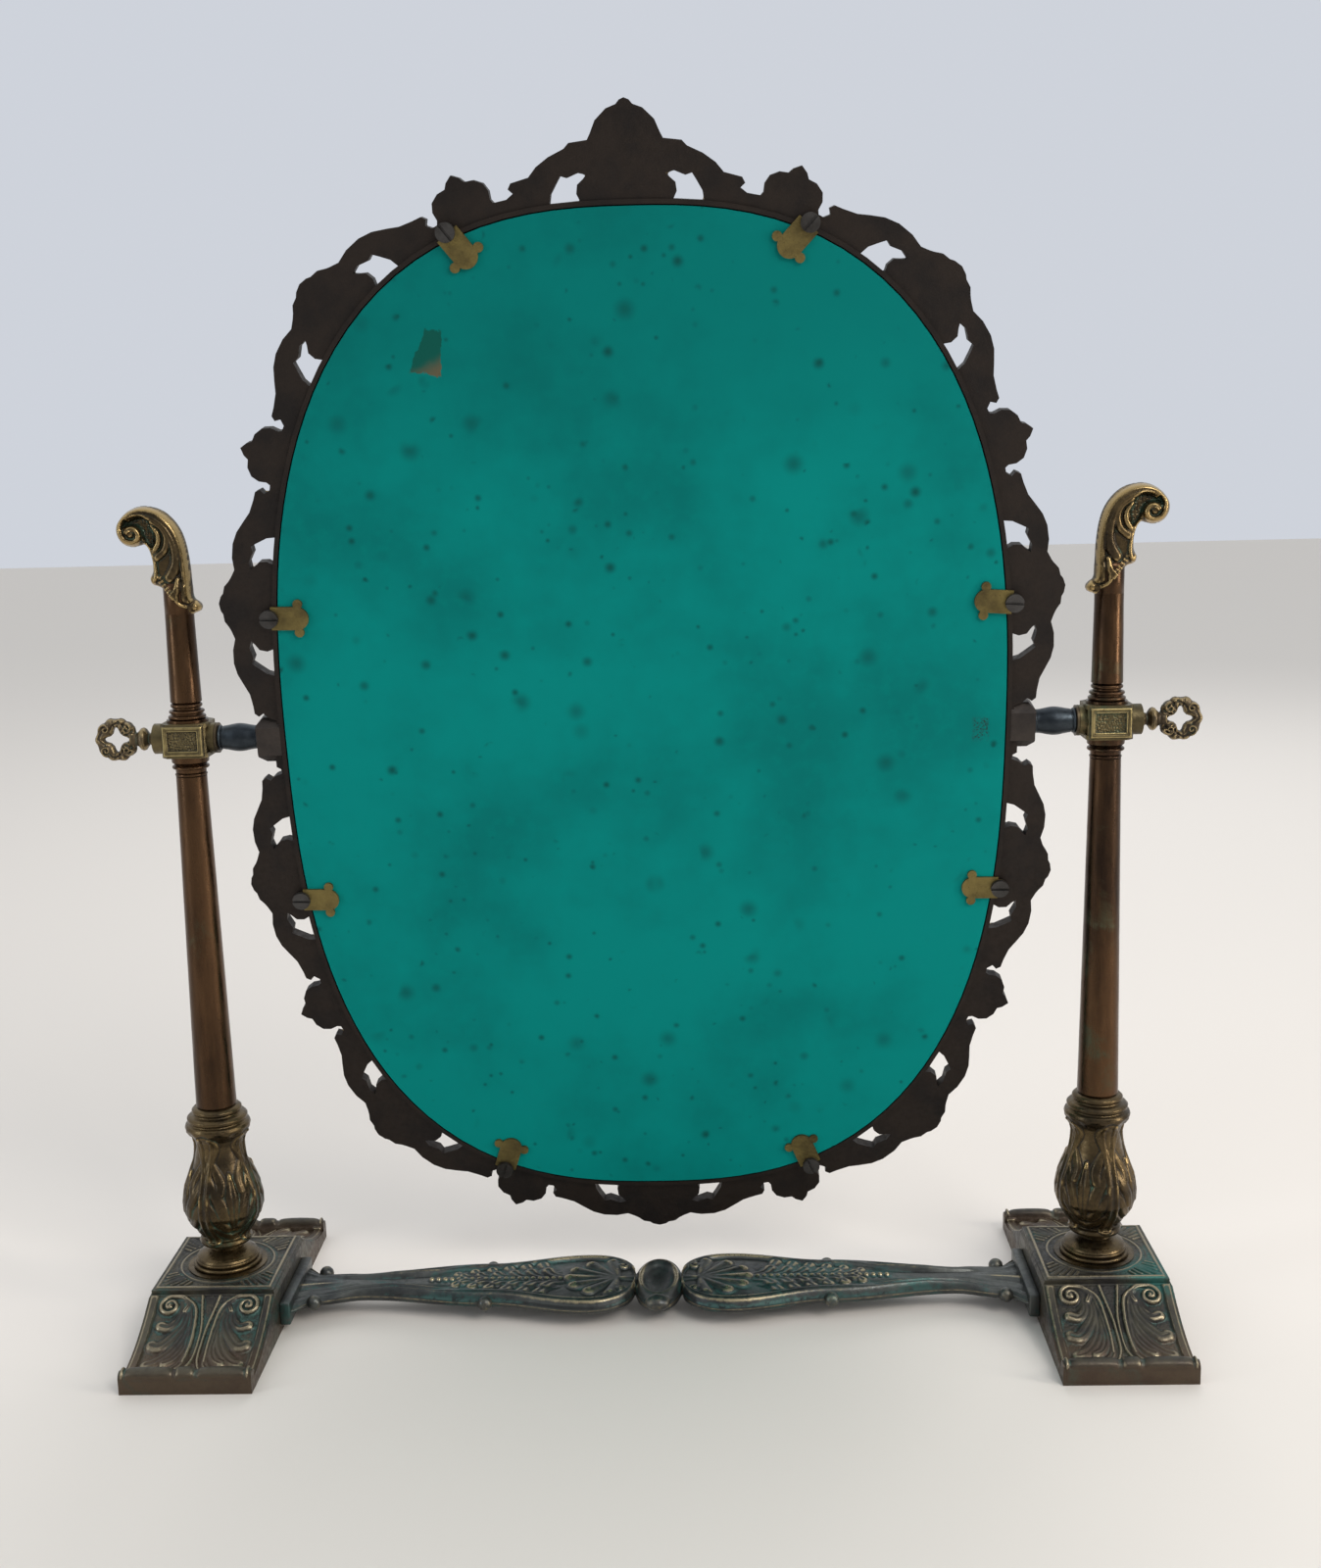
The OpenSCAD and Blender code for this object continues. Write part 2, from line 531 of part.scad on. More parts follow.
// Half-widths along the bar, [distance from the middle as a share of half its length, half-width]
BAR = [[0.03, 6], [0.08, 13], [0.19, cartouche_half], [0.46, neck_half + 8], [0.79, neck_half],
       [0.92, neck_half + 5], [0.99, flange_half - 2]];
hub_len = 11.5;
function bar_ease(a, b, n = 7) = [for (i = [0:n - 1]) let (t = i / n)
    [bar_half * (a.x + (b.x - a.x) * t), a.y + (b.y - a.y) * (1 - cos(180 * t)) / 2]];
bar_outline = [for (i = [0:len(BAR) - 2]) each bar_ease(BAR[i], BAR[i + 1])];
module stretcher() color("#55614f") difference() {
    union() {
        translate([0, 0, bar_z - 0.5]) linear_extrude(bar_t + 1)
            polygon([for (a = [0:10:350]) [hub_len * cos(a), hub_half * sin(a)]]);
        for (m = [0, 1]) mirror([m, 0, 0]) {
            translate([0, 0, bar_z]) linear_extrude(bar_t)
                polygon([each bar_outline, [bar_half, flange_half - 2], [bar_half, -flange_half + 2],
                         for (i = [len(bar_outline) - 1:-1:0]) [bar_outline[i].x, -bar_outline[i].y]]);
            translate([bar_half - flange_l, -flange_half, bar_z - (flange_h - bar_t) / 2 - 1])
                cube([flange_l, 2 * flange_half, flange_h]);
            for (b = [BAR[3], BAR[5]], s = [-1, 1])
                translate([b[0] * bar_half, s * (b[1] + ball_r / 3), bar_z + bar_t / 2])
                    sphere(r = ball_r, $fn = 32);
        }
    }
    for (m = [0, 1], y = BAR_SCREWS) mirror([m, 0, 0]) translate([bar_half, y, bar_screw_z])
        rotate([0, 90, 0]) cylinder(r = bar_screw_r, h = 2 * bar_screw_l + 1, center = true);
}
module stretcher_screws() color("#54504a") for (m = [0, 1], y = BAR_SCREWS) mirror([m, 0, 0])
    translate([bar_half + side_wall, y, bar_screw_z]) rotate([0, 90, 0])
        slotted_screw(bar_screw_r, 3, 2, side_wall + bar_screw_l);

mirror_frame();
mirror_glass();
glass_clips();
clip_screws();
stretcher();
stretcher_screws();
for (s = SIDES) {
    pivot_lug(s[1]);
    pivot_barrel(s[1]);
    friction_washer(s[1]);
    clamp_knob(s[1]);
    clamp_screw(s[1]);
    pivot_block(s[1]);
    upper_collar(s[1]);
    upper_tube(s[1]);
    finial(s[1]);
    upper_tie_rod(s[1]);
    lower_collar(s[1]);
    column(s[1]);
    baluster(s[1]);
    base_disc(s[1]);
    foot(s[1]);
    lower_tie_rod(s[1]);
    foot_washer(s[1]);
    foot_nut(s[1]);
}
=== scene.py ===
"""Looks of the table mirror: detailed castings, aged bronze, the painted back of the plate, stage and camera.

Lengths in this script are millimetres until mesh_object() turns them into metres. X runs along the pivot
axis, Z is up and -Y is the back of the mirror, which faces the camera.
"""
import math

import bmesh
import bpy
import numpy as np
from mathutils import Matrix, Vector
from mathutils.kdtree import KDTree


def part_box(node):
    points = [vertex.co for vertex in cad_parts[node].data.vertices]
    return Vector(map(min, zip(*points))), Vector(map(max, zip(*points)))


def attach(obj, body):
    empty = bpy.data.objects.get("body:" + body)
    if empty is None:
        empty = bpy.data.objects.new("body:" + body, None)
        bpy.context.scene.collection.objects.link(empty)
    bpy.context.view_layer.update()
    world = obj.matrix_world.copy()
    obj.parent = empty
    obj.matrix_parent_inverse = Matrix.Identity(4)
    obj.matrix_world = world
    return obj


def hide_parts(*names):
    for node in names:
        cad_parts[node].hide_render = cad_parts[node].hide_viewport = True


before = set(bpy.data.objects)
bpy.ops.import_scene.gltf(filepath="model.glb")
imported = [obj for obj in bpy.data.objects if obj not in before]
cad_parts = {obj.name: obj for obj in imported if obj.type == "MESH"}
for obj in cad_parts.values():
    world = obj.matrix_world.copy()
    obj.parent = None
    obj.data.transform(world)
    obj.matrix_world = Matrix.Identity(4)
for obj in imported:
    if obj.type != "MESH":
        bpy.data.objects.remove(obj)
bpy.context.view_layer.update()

MM = 0.001


# ---------------------------------------------------------------- sizes taken from the frame
def cad(node):
    """Lowest and highest corner of a CAD node, in millimetres."""
    low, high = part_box(node)
    return np.array(low) / MM, np.array(high) / MM


def middle(node):
    """Middle of a CAD node's box, in mm."""
    low, high = cad(node)
    return (low + high) / 2


SIDES = {"left": -1, "right": 1}
POST_X = middle("right_column")[0]
PIVOT_Z = middle("right_clamp_screw")[2]
PLATE_Z = cad("right_base_disc")[0][2]
FOOT_HALF_W = (cad("right_foot")[1][0] - cad("right_foot")[0][0]) / 2
FOOT_HALF_L = cad("right_foot")[1][1]
REST_TILT = math.radians(9)
FRAME_DROP = 3.0  # the mirror's own middle is this far below the pivots


# ---------------------------------------------------------------- relief toolbox
def smooth_path(points, per_span=8, closed=False):
    """Catmull-Rom curve through given points."""
    pts = np.array(points, float)
    n = len(pts)
    spans = n if closed else n - 1
    out = []
    for i in range(spans):
        if closed:
            p0, p1, p2, p3 = (pts[(i + k - 1) % n] for k in range(4))
        else:
            p0, p1, p2, p3 = pts[max(i - 1, 0)], pts[i], pts[i + 1], pts[min(i + 2, n - 1)]
        for t in np.arange(per_span) / per_span:
            out.append(0.5 * (2 * p1 + (p2 - p0) * t + (2 * p0 - 5 * p1 + 4 * p2 - p3) * t * t
                              + (3 * p1 - p0 - 3 * p2 + p3) * t ** 3))
    if not closed:
        out.append(pts[-1])
    return np.array(out)


def spiral(centre, r_out, r_in, turns, start):
    """Points of a spiral that winds inwards from angle start, in degrees."""
    t = np.linspace(0, 1, 40)
    a = np.radians(start) + 2 * np.pi * turns * t
    r = r_out + (r_in - r_out) * t ** 0.8
    return np.stack([centre[0] + r * np.cos(a), centre[1] + r * np.sin(a)], 1)


def unit(x):
    """x limited to 0..1."""
    return np.clip(x, 0, 1)


def band(x, width, power=2):
    """Soft band, 1 at x = 0 and fading past width; a higher power gives a flatter top."""
    return np.exp(-(x / width) ** power)


def dome(q, power=2):
    """Rounded section, 1 at q = 0 and 0 from q = 1 on."""
    return np.sqrt(np.clip(1 - q ** power, 0, None))


def highest(first, *others):
    """The highest of several layers of relief, point by point."""
    for layer in others:
        first = np.maximum(first, layer)
    return first


def along(path, u, v):
    """For each grid point: its distance from the path, and its place along the path from 0 to 1."""
    seg = np.diff(path, axis=0)
    length = np.hypot(*seg.T)
    start = np.concatenate([[0], np.cumsum(length)])
    best = np.full(u.shape, 1e9)
    place = np.zeros(u.shape)
    for (ax, ay), (dx, dy), ln, s0 in zip(path[:-1], seg, length, start):
        if ln < 1e-9:
            continue
        t = unit(((u - ax) * dx + (v - ay) * dy) / ln ** 2)
        d = np.hypot(u - ax - t * dx, v - ay - t * dy)
        near = d < best
        best = np.where(near, d, best)
        place = np.where(near, (s0 + t * ln) / start[-1], place)
    return best, place


def ridge(u, v, path, half, height, groove=0.0):
    """Height of a ridge that follows path. half and height are numbers or functions of the place, 0 to 1."""
    path = np.array(path, float)
    wide = max(half(t) for t in np.linspace(0, 1, 9)) if callable(half) else half
    low, high = path.min(0) - wide, path.max(0) + wide
    window = (u > low[0]) & (u < high[0]) & (v > low[1]) & (v < high[1])
    out = np.zeros(u.shape)
    if not window.any():
        return out
    d, t = along(path, u[window], v[window])
    w = half(t) if callable(half) else half
    h = height(t) if callable(height) else height
    q = d / np.maximum(w, 1e-6)
    out[window] = h * dome(q) * (1 - groove * band(q, 0.22))
    return out


def bump(u, v, centre, radius, height):
    """Half-ellipsoid knob."""
    return height * dome(np.hypot((u - centre[0]) / radius, (v - centre[1]) / radius))


def lobe(start, peak):
    """Half-width of a leaf lobe, from a narrow root to a rounded tip, as a share of its widest."""
    def share(t):
        return start + (1 - start) * np.sin(unit(t / peak) * np.pi / 2)
    return share


def pebbles(u, v, pitch, height, seed):
    """Chased ground of small rounded pebbles."""
    gen = np.random.default_rng(seed)
    iu, iv = np.floor(u / pitch).astype(int), np.floor(v / pitch).astype(int)
    lo_u, lo_v = iu.min() - 1, iv.min() - 1
    shape = (iu.max() - lo_u + 2, iv.max() - lo_v + 2)
    jitter = gen.uniform(0.2, 0.8, shape + (2,))
    size = gen.uniform(0.75, 1.0, shape)
    out = np.zeros(u.shape)
    for du in (-1, 0, 1):
        for dv in (-1, 0, 1):
            cu, cv = iu + du - lo_u, iv + dv - lo_v
            inside = (cu >= 0) & (cv >= 0) & (cu < shape[0]) & (cv < shape[1])
            cu, cv = np.clip(cu, 0, shape[0] - 1), np.clip(cv, 0, shape[1] - 1)
            px = (cu + lo_u + jitter[cu, cv, 0]) * pitch
            py = (cv + lo_v + jitter[cu, cv, 1]) * pitch
            q = np.hypot(u - px, v - py) / (0.62 * pitch * size[cu, cv])
            out = np.maximum(out, np.where(inside, dome(q), 0))
    return height * out


def blur(h, passes):
    """h, each pass averaged with its four neighbours."""
    for _ in range(passes):
        p = np.pad(h, 1, mode="edge")
        h = (p[:-2, 1:-1] + p[2:, 1:-1] + p[1:-1, :-2] + p[1:-1, 2:] + 2 * h) / 6
    return h


FULL_WEAR_AND_LIGHT = 0.35  # a point this much higher than what surrounds it gets the full value: fully worn, and fully painted as highlight


def wear_and_painted_light_of(h, reach=14):
    """How exposed each point is: above 0 on ridges, below 0 in recesses; this sets the worn brightening and
    painted highlight on ridges and the painted shade in recesses.
    """
    return np.clip((h - blur(h, reach)) / FULL_WEAR_AND_LIGHT, -1, 1)


def inside_distance(u, v, outline):
    """Distance inside a closed outline, negative outside."""
    closed = np.concatenate([outline, outline[:1]])
    d, _ = along(closed, u, v)
    within = np.zeros(u.shape, bool)
    for (ax, ay), (bx, by) in zip(closed[:-1], closed[1:]):
        crosses = (ay > v) != (by > v)
        dy = by - ay if by != ay else 1e-12
        within ^= crosses & (u < ax + (v - ay) * (bx - ax) / dy)
    return np.where(within, d, -d)


# ---------------------------------------------------------------- mesh makers
def placed(name, data):
    """New object of the scene that holds data."""
    obj = bpy.data.objects.new(name, data)
    bpy.context.scene.collection.objects.link(obj)
    return obj


def mesh_object(name, verts, faces, wear_and_painted_light):
    """Smooth-shaded object from millimetre vertices, with a value for each of them that sets worn
    brightening, painted highlight and painted shade.
    """
    mesh = bpy.data.meshes.new(name)
    mesh.from_pydata((np.asarray(verts) * MM).tolist(), [], [list(map(int, f)) for f in faces])
    attribute = mesh.attributes.new("wear_and_painted_light", "FLOAT", "POINT")
    attribute.data.foreach_set("value", np.asarray(wear_and_painted_light, np.float32))
    mesh.polygons.foreach_set("use_smooth", [True] * len(mesh.polygons))
    mesh.validate()
    mesh.update()
    return placed(name, mesh)


def grid_faces(n, m, offset=0, flip=False, wrap=False):
    """Quads of an n by m grid of vertices; wrap joins the last column to the first."""
    cols = m if wrap else m - 1
    i, j = np.meshgrid(np.arange(n - 1), np.arange(cols), indexing="ij")
    i, j = i.ravel(), j.ravel()
    k = (j + 1) % m
    quads = np.stack([i * m + j, (i + 1) * m + j, (i + 1) * m + k, i * m + k], 1) + offset
    return quads[:, ::-1] if flip else quads


def skin(name, base, normal, relief, depth, flip=False):
    """Thin solid: its outer face is base raised by relief along normal, its under face depth below base."""
    n, m = relief.shape
    outer = base + normal * relief[..., None]
    under = base - normal * depth
    verts = np.concatenate([outer.reshape(-1, 3), under.reshape(-1, 3)])
    top = grid_faces(n, m, 0, flip)
    bottom = grid_faces(n, m, n * m, not flip)
    ring = [*range(m), *(i * m + m - 1 for i in range(1, n)), *range(n * m - 2, (n - 1) * m - 1, -1),
            *(i * m for i in range(n - 2, 0, -1))]
    walls = np.array([(a, b, b + n * m, a + n * m) for a, b in zip(ring, ring[1:] + ring[:1])])
    walls = walls[:, ::-1] if flip else walls
    wear_and_painted_light = np.concatenate([wear_and_painted_light_of(relief).ravel(), np.zeros(n * m)])
    return mesh_object(name, verts, np.concatenate([top, bottom, walls]), wear_and_painted_light)


def loft(name, rings, wear_and_painted_light):
    """Closed tube through rings of points, an array [ring, point, xyz]."""
    n, m = rings.shape[:2]
    verts = rings.reshape(-1, 3)
    faces = [list(f) for f in grid_faces(n, m, wrap=True)]
    faces.append(list(range(m)))
    faces.append(list(range((n - 1) * m, n * m))[::-1])
    return mesh_object(name, verts, faces, wear_and_painted_light.ravel())


def surface_net(field, origin, step):
    """Surface where a 3-D field, negative inside, is zero: one vertex in each cell that it crosses."""
    nx, ny, nz = (s - 1 for s in field.shape)
    corner = [(i, j, k) for i in (0, 1) for j in (0, 1) for k in (0, 1)]
    value = {c: field[c[0]:c[0] + nx, c[1]:c[1] + ny, c[2]:c[2] + nz] for c in corner}
    total = np.zeros((nx, ny, nz, 3), np.float32)
    count = np.zeros((nx, ny, nz), np.float32)
    for a in corner:
        for axis in range(3):
            if a[axis]:
                continue
            b = tuple(1 if x == axis else a[x] for x in range(3))
            fa, fb = value[a], value[b]
            cross = (fa < 0) != (fb < 0)
            t = np.where(cross, fa / np.where(cross, fa - fb, 1), 0)
            for x in range(3):
                total[..., x] += np.where(cross, a[x] + (t if x == axis else 0), 0)
            count += cross
    active = count > 0
    index = np.full(active.shape, -1)
    index[active] = np.arange(active.sum())
    where = np.argwhere(active)
    verts = (where + total[active] / count[active][:, None]) * step + np.array(origin)
    faces = []
    for axis in range(3):
        low = [slice(1, -1)] * 3
        low[axis] = slice(0, -1)
        high = list(low)
        high[axis] = slice(1, None)
        fa, fb = field[tuple(low)], field[tuple(high)]
        p, q = [x for x in range(3) if x != axis]
        for sign in (1, -1):
            hit = ((fa < 0) & (fb >= 0)) if sign > 0 else ((fa >= 0) & (fb < 0))
            at = np.argwhere(hit)
            at[:, p] += 1
            at[:, q] += 1
            quad = []
            for dp, dq in ((-1, -1), (0, -1), (0, 0), (-1, 0)):
                cell = at.copy()
                cell[:, p] += dp
                cell[:, q] += dq
                quad.append(index[tuple(cell.T)])
            quad = np.stack(quad, 1)
            if (sign > 0) == (axis == 1):
                quad = quad[:, ::-1]
            faces.append(quad)
    faces = np.concatenate(faces)
    return verts, faces[(faces >= 0).all(1)]


def plate(name, u, v, step, thickness, place, relax, reach=14):
    """Softened solid, thickness deep to each side of the plane u, v; place turns [u, y, v] into the scene."""
    deep = thickness.max() + 3 * step
    ys = np.arange(-deep, deep + step, step)
    field = np.abs(ys)[None, :, None] - thickness[:, None, :]
    verts, faces = surface_net(field.astype(np.float32), (u[0, 0], ys[0], v[0, 0]), step)
    wear_and_painted_light = wear_and_painted_light_of(thickness, reach)
    iu = np.clip(((verts[:, 0] - u[0, 0]) / step).round().astype(int), 0, u.shape[0] - 1)
    iv = np.clip(((verts[:, 2] - v[0, 0]) / step).round().astype(int), 0, u.shape[1] - 1)
    obj = mesh_object(name, place(verts), faces, wear_and_painted_light[iu, iv])
    softener = obj.modifiers.new("soft_casting", "SMOOTH")
    softener.factor = relax
    softener.iterations = 2
    return obj


def mesh_grid(u0, u1, v0, v1, step):
    """Coordinates of a grid of points that are step apart."""
    return np.meshgrid(np.arange(u0, u1 + step / 2, step), np.arange(v0, v1 + step / 2, step), indexing="ij")


def about_x(angle):
    """Rotation matrix about the X axis."""
    c, s = math.cos(angle), math.sin(angle)
    return np.array([[1, 0, 0], [0, c, -s], [0, s, c]])


def end_name(end):
    """Name of the front, +1, or the back, -1."""
    return "front" if end > 0 else "back"


def add_piece(obj, body, slot, *replaces, look=None):
    """Give a piece the material of its slot, or of look when that is given, and its body, and hide the CAD
    nodes that it stands for.
    """
    obj.data.materials.append(MATERIALS[look or slot])
    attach(obj, body)
    if replaces:
        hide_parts(*replaces)


# ---------------------------------------------------------------- materials
class Look:
    """A node-based material under construction."""

    def __init__(self, name):
        self.material = bpy.data.materials.new(name)
        self.material.use_nodes = True
        self.tree = self.material.node_tree
        self.tree.nodes.clear()
        self.out = self.node("ShaderNodeOutputMaterial")
        self.bsdf = self.node("ShaderNodeBsdfPrincipled")
        self.link(self.bsdf.outputs[0], self.out.inputs[0])
        self.place = self.node("ShaderNodeTexCoord").outputs["Object"]

    def node(self, kind, **values):
        made = self.tree.nodes.new(kind)
        for key, value in values.items():
            setattr(made, key, value)
        return made

    def link(self, a, b):
        self.tree.links.new(a, b)

    def feed(self, socket, value):
        if isinstance(value, bpy.types.NodeSocket):
            self.link(value, socket)
        else:
            socket.default_value = value

    def scaled(self, factors):
        made = self.node("ShaderNodeMapping")
        made.inputs["Scale"].default_value = factors
        self.link(self.place, made.inputs["Vector"])
        return made.outputs[0]

    def noise(self, scale, detail, roughness, vector=None, distortion=0.0):
        made = self.node("ShaderNodeTexNoise")
        self.link(vector or self.place, made.inputs["Vector"])
        for key, number in (("Scale", scale), ("Detail", detail), ("Roughness", roughness),
                            ("Distortion", distortion)):
            made.inputs[key].default_value = number
        return made.outputs["Fac"]

    def cells(self, scale):
        made = self.node("ShaderNodeTexVoronoi")
        self.link(self.place, made.inputs["Vector"])
        made.inputs["Scale"].default_value = scale
        return made.outputs["Distance"]

    def attribute(self, name):
        return self.node("ShaderNodeAttribute", attribute_name=name).outputs["Fac"]

    def math(self, op, a, b=0.0):
        made = self.node("ShaderNodeMath", operation=op)
        self.feed(made.inputs[0], a)
        self.feed(made.inputs[1], b)
        return made.outputs[0]

    def add(self, a, b):
        return self.math("ADD", a, b)

    def sub(self, a, b):
        return self.math("SUBTRACT", a, b)

    def mul(self, a, b):
        return self.math("MULTIPLY", a, b)

    def off_centre(self, value, centre, half):
        """Distance of value from centre, as a share of half."""
        return self.math("DIVIDE", self.math("ABSOLUTE", self.sub(value, centre)), half)

    def vector_math(self, op, a, b):
        made = self.node("ShaderNodeVectorMath", operation=op)
        self.link(a, made.inputs[0])
        made.inputs[1].default_value = b
        return made

    def split(self, vector):
        made = self.node("ShaderNodeSeparateXYZ")
        self.link(vector, made.inputs[0])
        return made.outputs

    def span(self, value, a, b, c=0.0, d=1.0):
        """value from a..b mapped to c..d, clamped and eased."""
        made = self.node("ShaderNodeMapRange", interpolation_type="SMOOTHSTEP")
        self.feed(made.inputs["Value"], value)
        for key, number in (("From Min", a), ("From Max", b), ("To Min", c), ("To Max", d)):
            made.inputs[key].default_value = number
        return made.outputs[0]

    def blend(self, factor, a, b):
        """Colour a, turning into colour b as factor goes from 0 to 1."""
        made = self.node("ShaderNodeMix", data_type="RGBA")
        self.feed(made.inputs["Factor"], factor)
        for socket, colour in ((made.inputs["A"], a), (made.inputs["B"], b)):
            self.feed(socket, colour if isinstance(colour, bpy.types.NodeSocket) else (*colour, 1.0))
        return made.outputs["Result"]

    def bump(self, height, strength, distance, normal=None):
        made = self.node("ShaderNodeBump")
        made.inputs["Strength"].default_value = strength
        made.inputs["Distance"].default_value = distance
        self.link(height, made.inputs["Height"])
        if normal is not None:
            self.link(normal, made.inputs["Normal"])
        return made.outputs[0]

    def finish(self, colour, roughness, metallic, normal=None):
        self.feed(self.bsdf.inputs["Base Color"], colour)
        self.feed(self.bsdf.inputs["Roughness"], roughness)
        self.feed(self.bsdf.inputs["Metallic"], metallic)
        if normal is not None:
            self.link(normal, self.bsdf.inputs["Normal"])
        return self.material


def aged_metal(name, base, dark, bright, patina=None, patina_share=0.5, rough=(0.34, 0.62), metallic=0.85,
               grain=1.0, stretch=(1, 1, 1), bright_share=0.35, weathered=None):
    """Cast or turned metal: painted shade darkens its recesses and its ridges are lighter, partly worn bright
    and partly a painted highlight, with patches of patina.

    grain is the strength of its bump, stretch draws its clouds out along an axis, and weathered adds one more
    layer to its colour.
    """
    look = Look(name)
    stretched = look.scaled(stretch)
    wear_and_painted_light = look.attribute("wear_and_painted_light")
    clouds = look.noise(45, 6, 0.62, stretched)
    fine = look.noise(420, 4, 0.6, stretched)
    speck = look.noise(1400, 3, 0.5)
    colour = look.blend(look.span(clouds, 0.38, 0.66), base, dark)
    # painted shade: the colour darkens where the surface lies below what surrounds it
    shaded_recess = look.span(look.add(wear_and_painted_light, look.mul(fine, 0.35)), 0.05, -0.45)
    colour = look.blend(look.mul(shaded_recess, 0.85), colour, tuple(c * 0.35 for c in dark))
    if patina is not None:
        drift = look.noise(28, 5, 0.65, distortion=0.6)
        lies = look.sub(drift, look.mul(wear_and_painted_light, 0.12))
        cover = look.span(lies, 0.66 - 0.22 * patina_share, 0.8 - 0.22 * patina_share)
        broken = look.span(fine, 0.3, 0.55)
        colour = look.blend(look.mul(cover, broken), colour, patina)
    if weathered is not None:
        colour = weathered(look, colour)
    # lighter ridges: part worn metal, part painted highlight
    uneven = look.mul(look.sub(fine, 0.5), 0.65)
    rubbed_and_highlit = look.span(look.add(wear_and_painted_light, uneven), 0.7 - bright_share, 1.15 - bright_share)
    colour = look.blend(rubbed_and_highlit, colour, bright)
    spots = look.span(speck, 0.64, 0.74)
    colour = look.blend(look.mul(spots, 0.5), colour, tuple(c * 0.3 for c in dark))
    roughness = look.sub(look.span(fine, 0.3, 0.75, *rough), look.mul(rubbed_and_highlit, 0.1))
    normal = look.bump(fine, 0.35 * grain, 0.0004)
    normal = look.bump(speck, 0.25 * grain, 0.00015, normal)
    shine = look.sub(metallic, look.mul(shaded_recess, 0.3))
    return look.finish(colour, roughness, shine, normal)


def foot_weathering(look, colour):
    """Browner metal low on the toes, and bright verdigris on one corner of the right foot's plate."""
    toes = look.span(look.split(look.place)["Z"], 0.0125, 0.0075)
    colour = look.blend(look.mul(toes, 0.6), colour, (0.095, 0.060, 0.038))
    away = look.vector_math("DISTANCE", look.place, ((POST_X + 22) * MM, -0.022, PLATE_Z * MM))
    ragged = look.mul(look.noise(150, 4, 0.65), 0.022)
    near = look.span(look.add(away.outputs["Value"], ragged), 0.031, 0.016)
    return look.blend(look.mul(near, 0.62), colour, (0.016, 0.140, 0.122))


METALS = {
    "frame_casting": dict(
        base=(0.020, 0.0135, 0.010), dark=(0.011, 0.008, 0.007), bright=(0.12, 0.085, 0.055),
        rough=(0.46, 0.68), metallic=0.6, grain=0.8),
    "frame_front": dict(
        base=(0.085, 0.058, 0.032), dark=(0.032, 0.023, 0.015), bright=(0.32, 0.235, 0.115),
        patina=(0.045, 0.075, 0.055), patina_share=0.3, rough=(0.32, 0.56), metallic=0.9, bright_share=0.38),
    "clip_brass": dict(
        base=(0.20, 0.155, 0.055), dark=(0.085, 0.065, 0.028), bright=(0.46, 0.37, 0.15),
        rough=(0.36, 0.62), metallic=0.9, grain=2.0),
    "dark_steel": dict(
        base=(0.075, 0.072, 0.07), dark=(0.035, 0.032, 0.03), bright=(0.22, 0.21, 0.2),
        rough=(0.4, 0.6), metallic=0.9),
    "gunmetal": dict(
        base=(0.050, 0.062, 0.072), dark=(0.025, 0.031, 0.038), bright=(0.19, 0.20, 0.21),
        rough=(0.3, 0.5), metallic=0.88, grain=0.6),
    "lug_casting": dict(
        base=(0.050, 0.040, 0.034), dark=(0.028, 0.023, 0.021), bright=(0.19, 0.17, 0.16),
        rough=(0.46, 0.66), metallic=0.65),
    "knob_bronze": dict(
        base=(0.105, 0.078, 0.046), dark=(0.045, 0.034, 0.023), bright=(0.26, 0.195, 0.10),
        patina=(0.08, 0.10, 0.07), patina_share=0.35, bright_share=0.25),
    "block_bronze": dict(
        base=(0.135, 0.105, 0.05), dark=(0.065, 0.052, 0.027), bright=(0.34, 0.27, 0.12),
        patina=(0.075, 0.09, 0.05), patina_share=0.4),
    "column_bronze": dict(
        base=(0.092, 0.050, 0.025), dark=(0.026, 0.016, 0.011), bright=(0.36, 0.21, 0.09),
        patina=(0.070, 0.066, 0.040), patina_share=0.45, rough=(0.22, 0.42), metallic=0.96,
        grain=0.6, stretch=(1, 1, 0.18)),
    "cast_bronze": dict(
        base=(0.115, 0.080, 0.038), dark=(0.042, 0.031, 0.019), bright=(0.34, 0.24, 0.105),
        patina=(0.045, 0.080, 0.052), patina_share=0.35, rough=(0.24, 0.46), metallic=0.93,
        bright_share=0.16),
    "foot_casting": dict(
        base=(0.082, 0.074, 0.054), dark=(0.036, 0.034, 0.032), bright=(0.25, 0.21, 0.14),
        patina=(0.042, 0.088, 0.075), patina_share=0.62, rough=(0.34, 0.6), metallic=0.78,
        bright_share=0.24, weathered=foot_weathering),
    "stretcher_casting": dict(
        base=(0.085, 0.090, 0.085), dark=(0.040, 0.043, 0.045), bright=(0.30, 0.25, 0.155),
        patina=(0.045, 0.095, 0.088), patina_share=0.62, rough=(0.3, 0.55), metallic=0.8, bright_share=0.38),
}
MATERIALS = {name: aged_metal(name, **facts) for name, facts in METALS.items()}


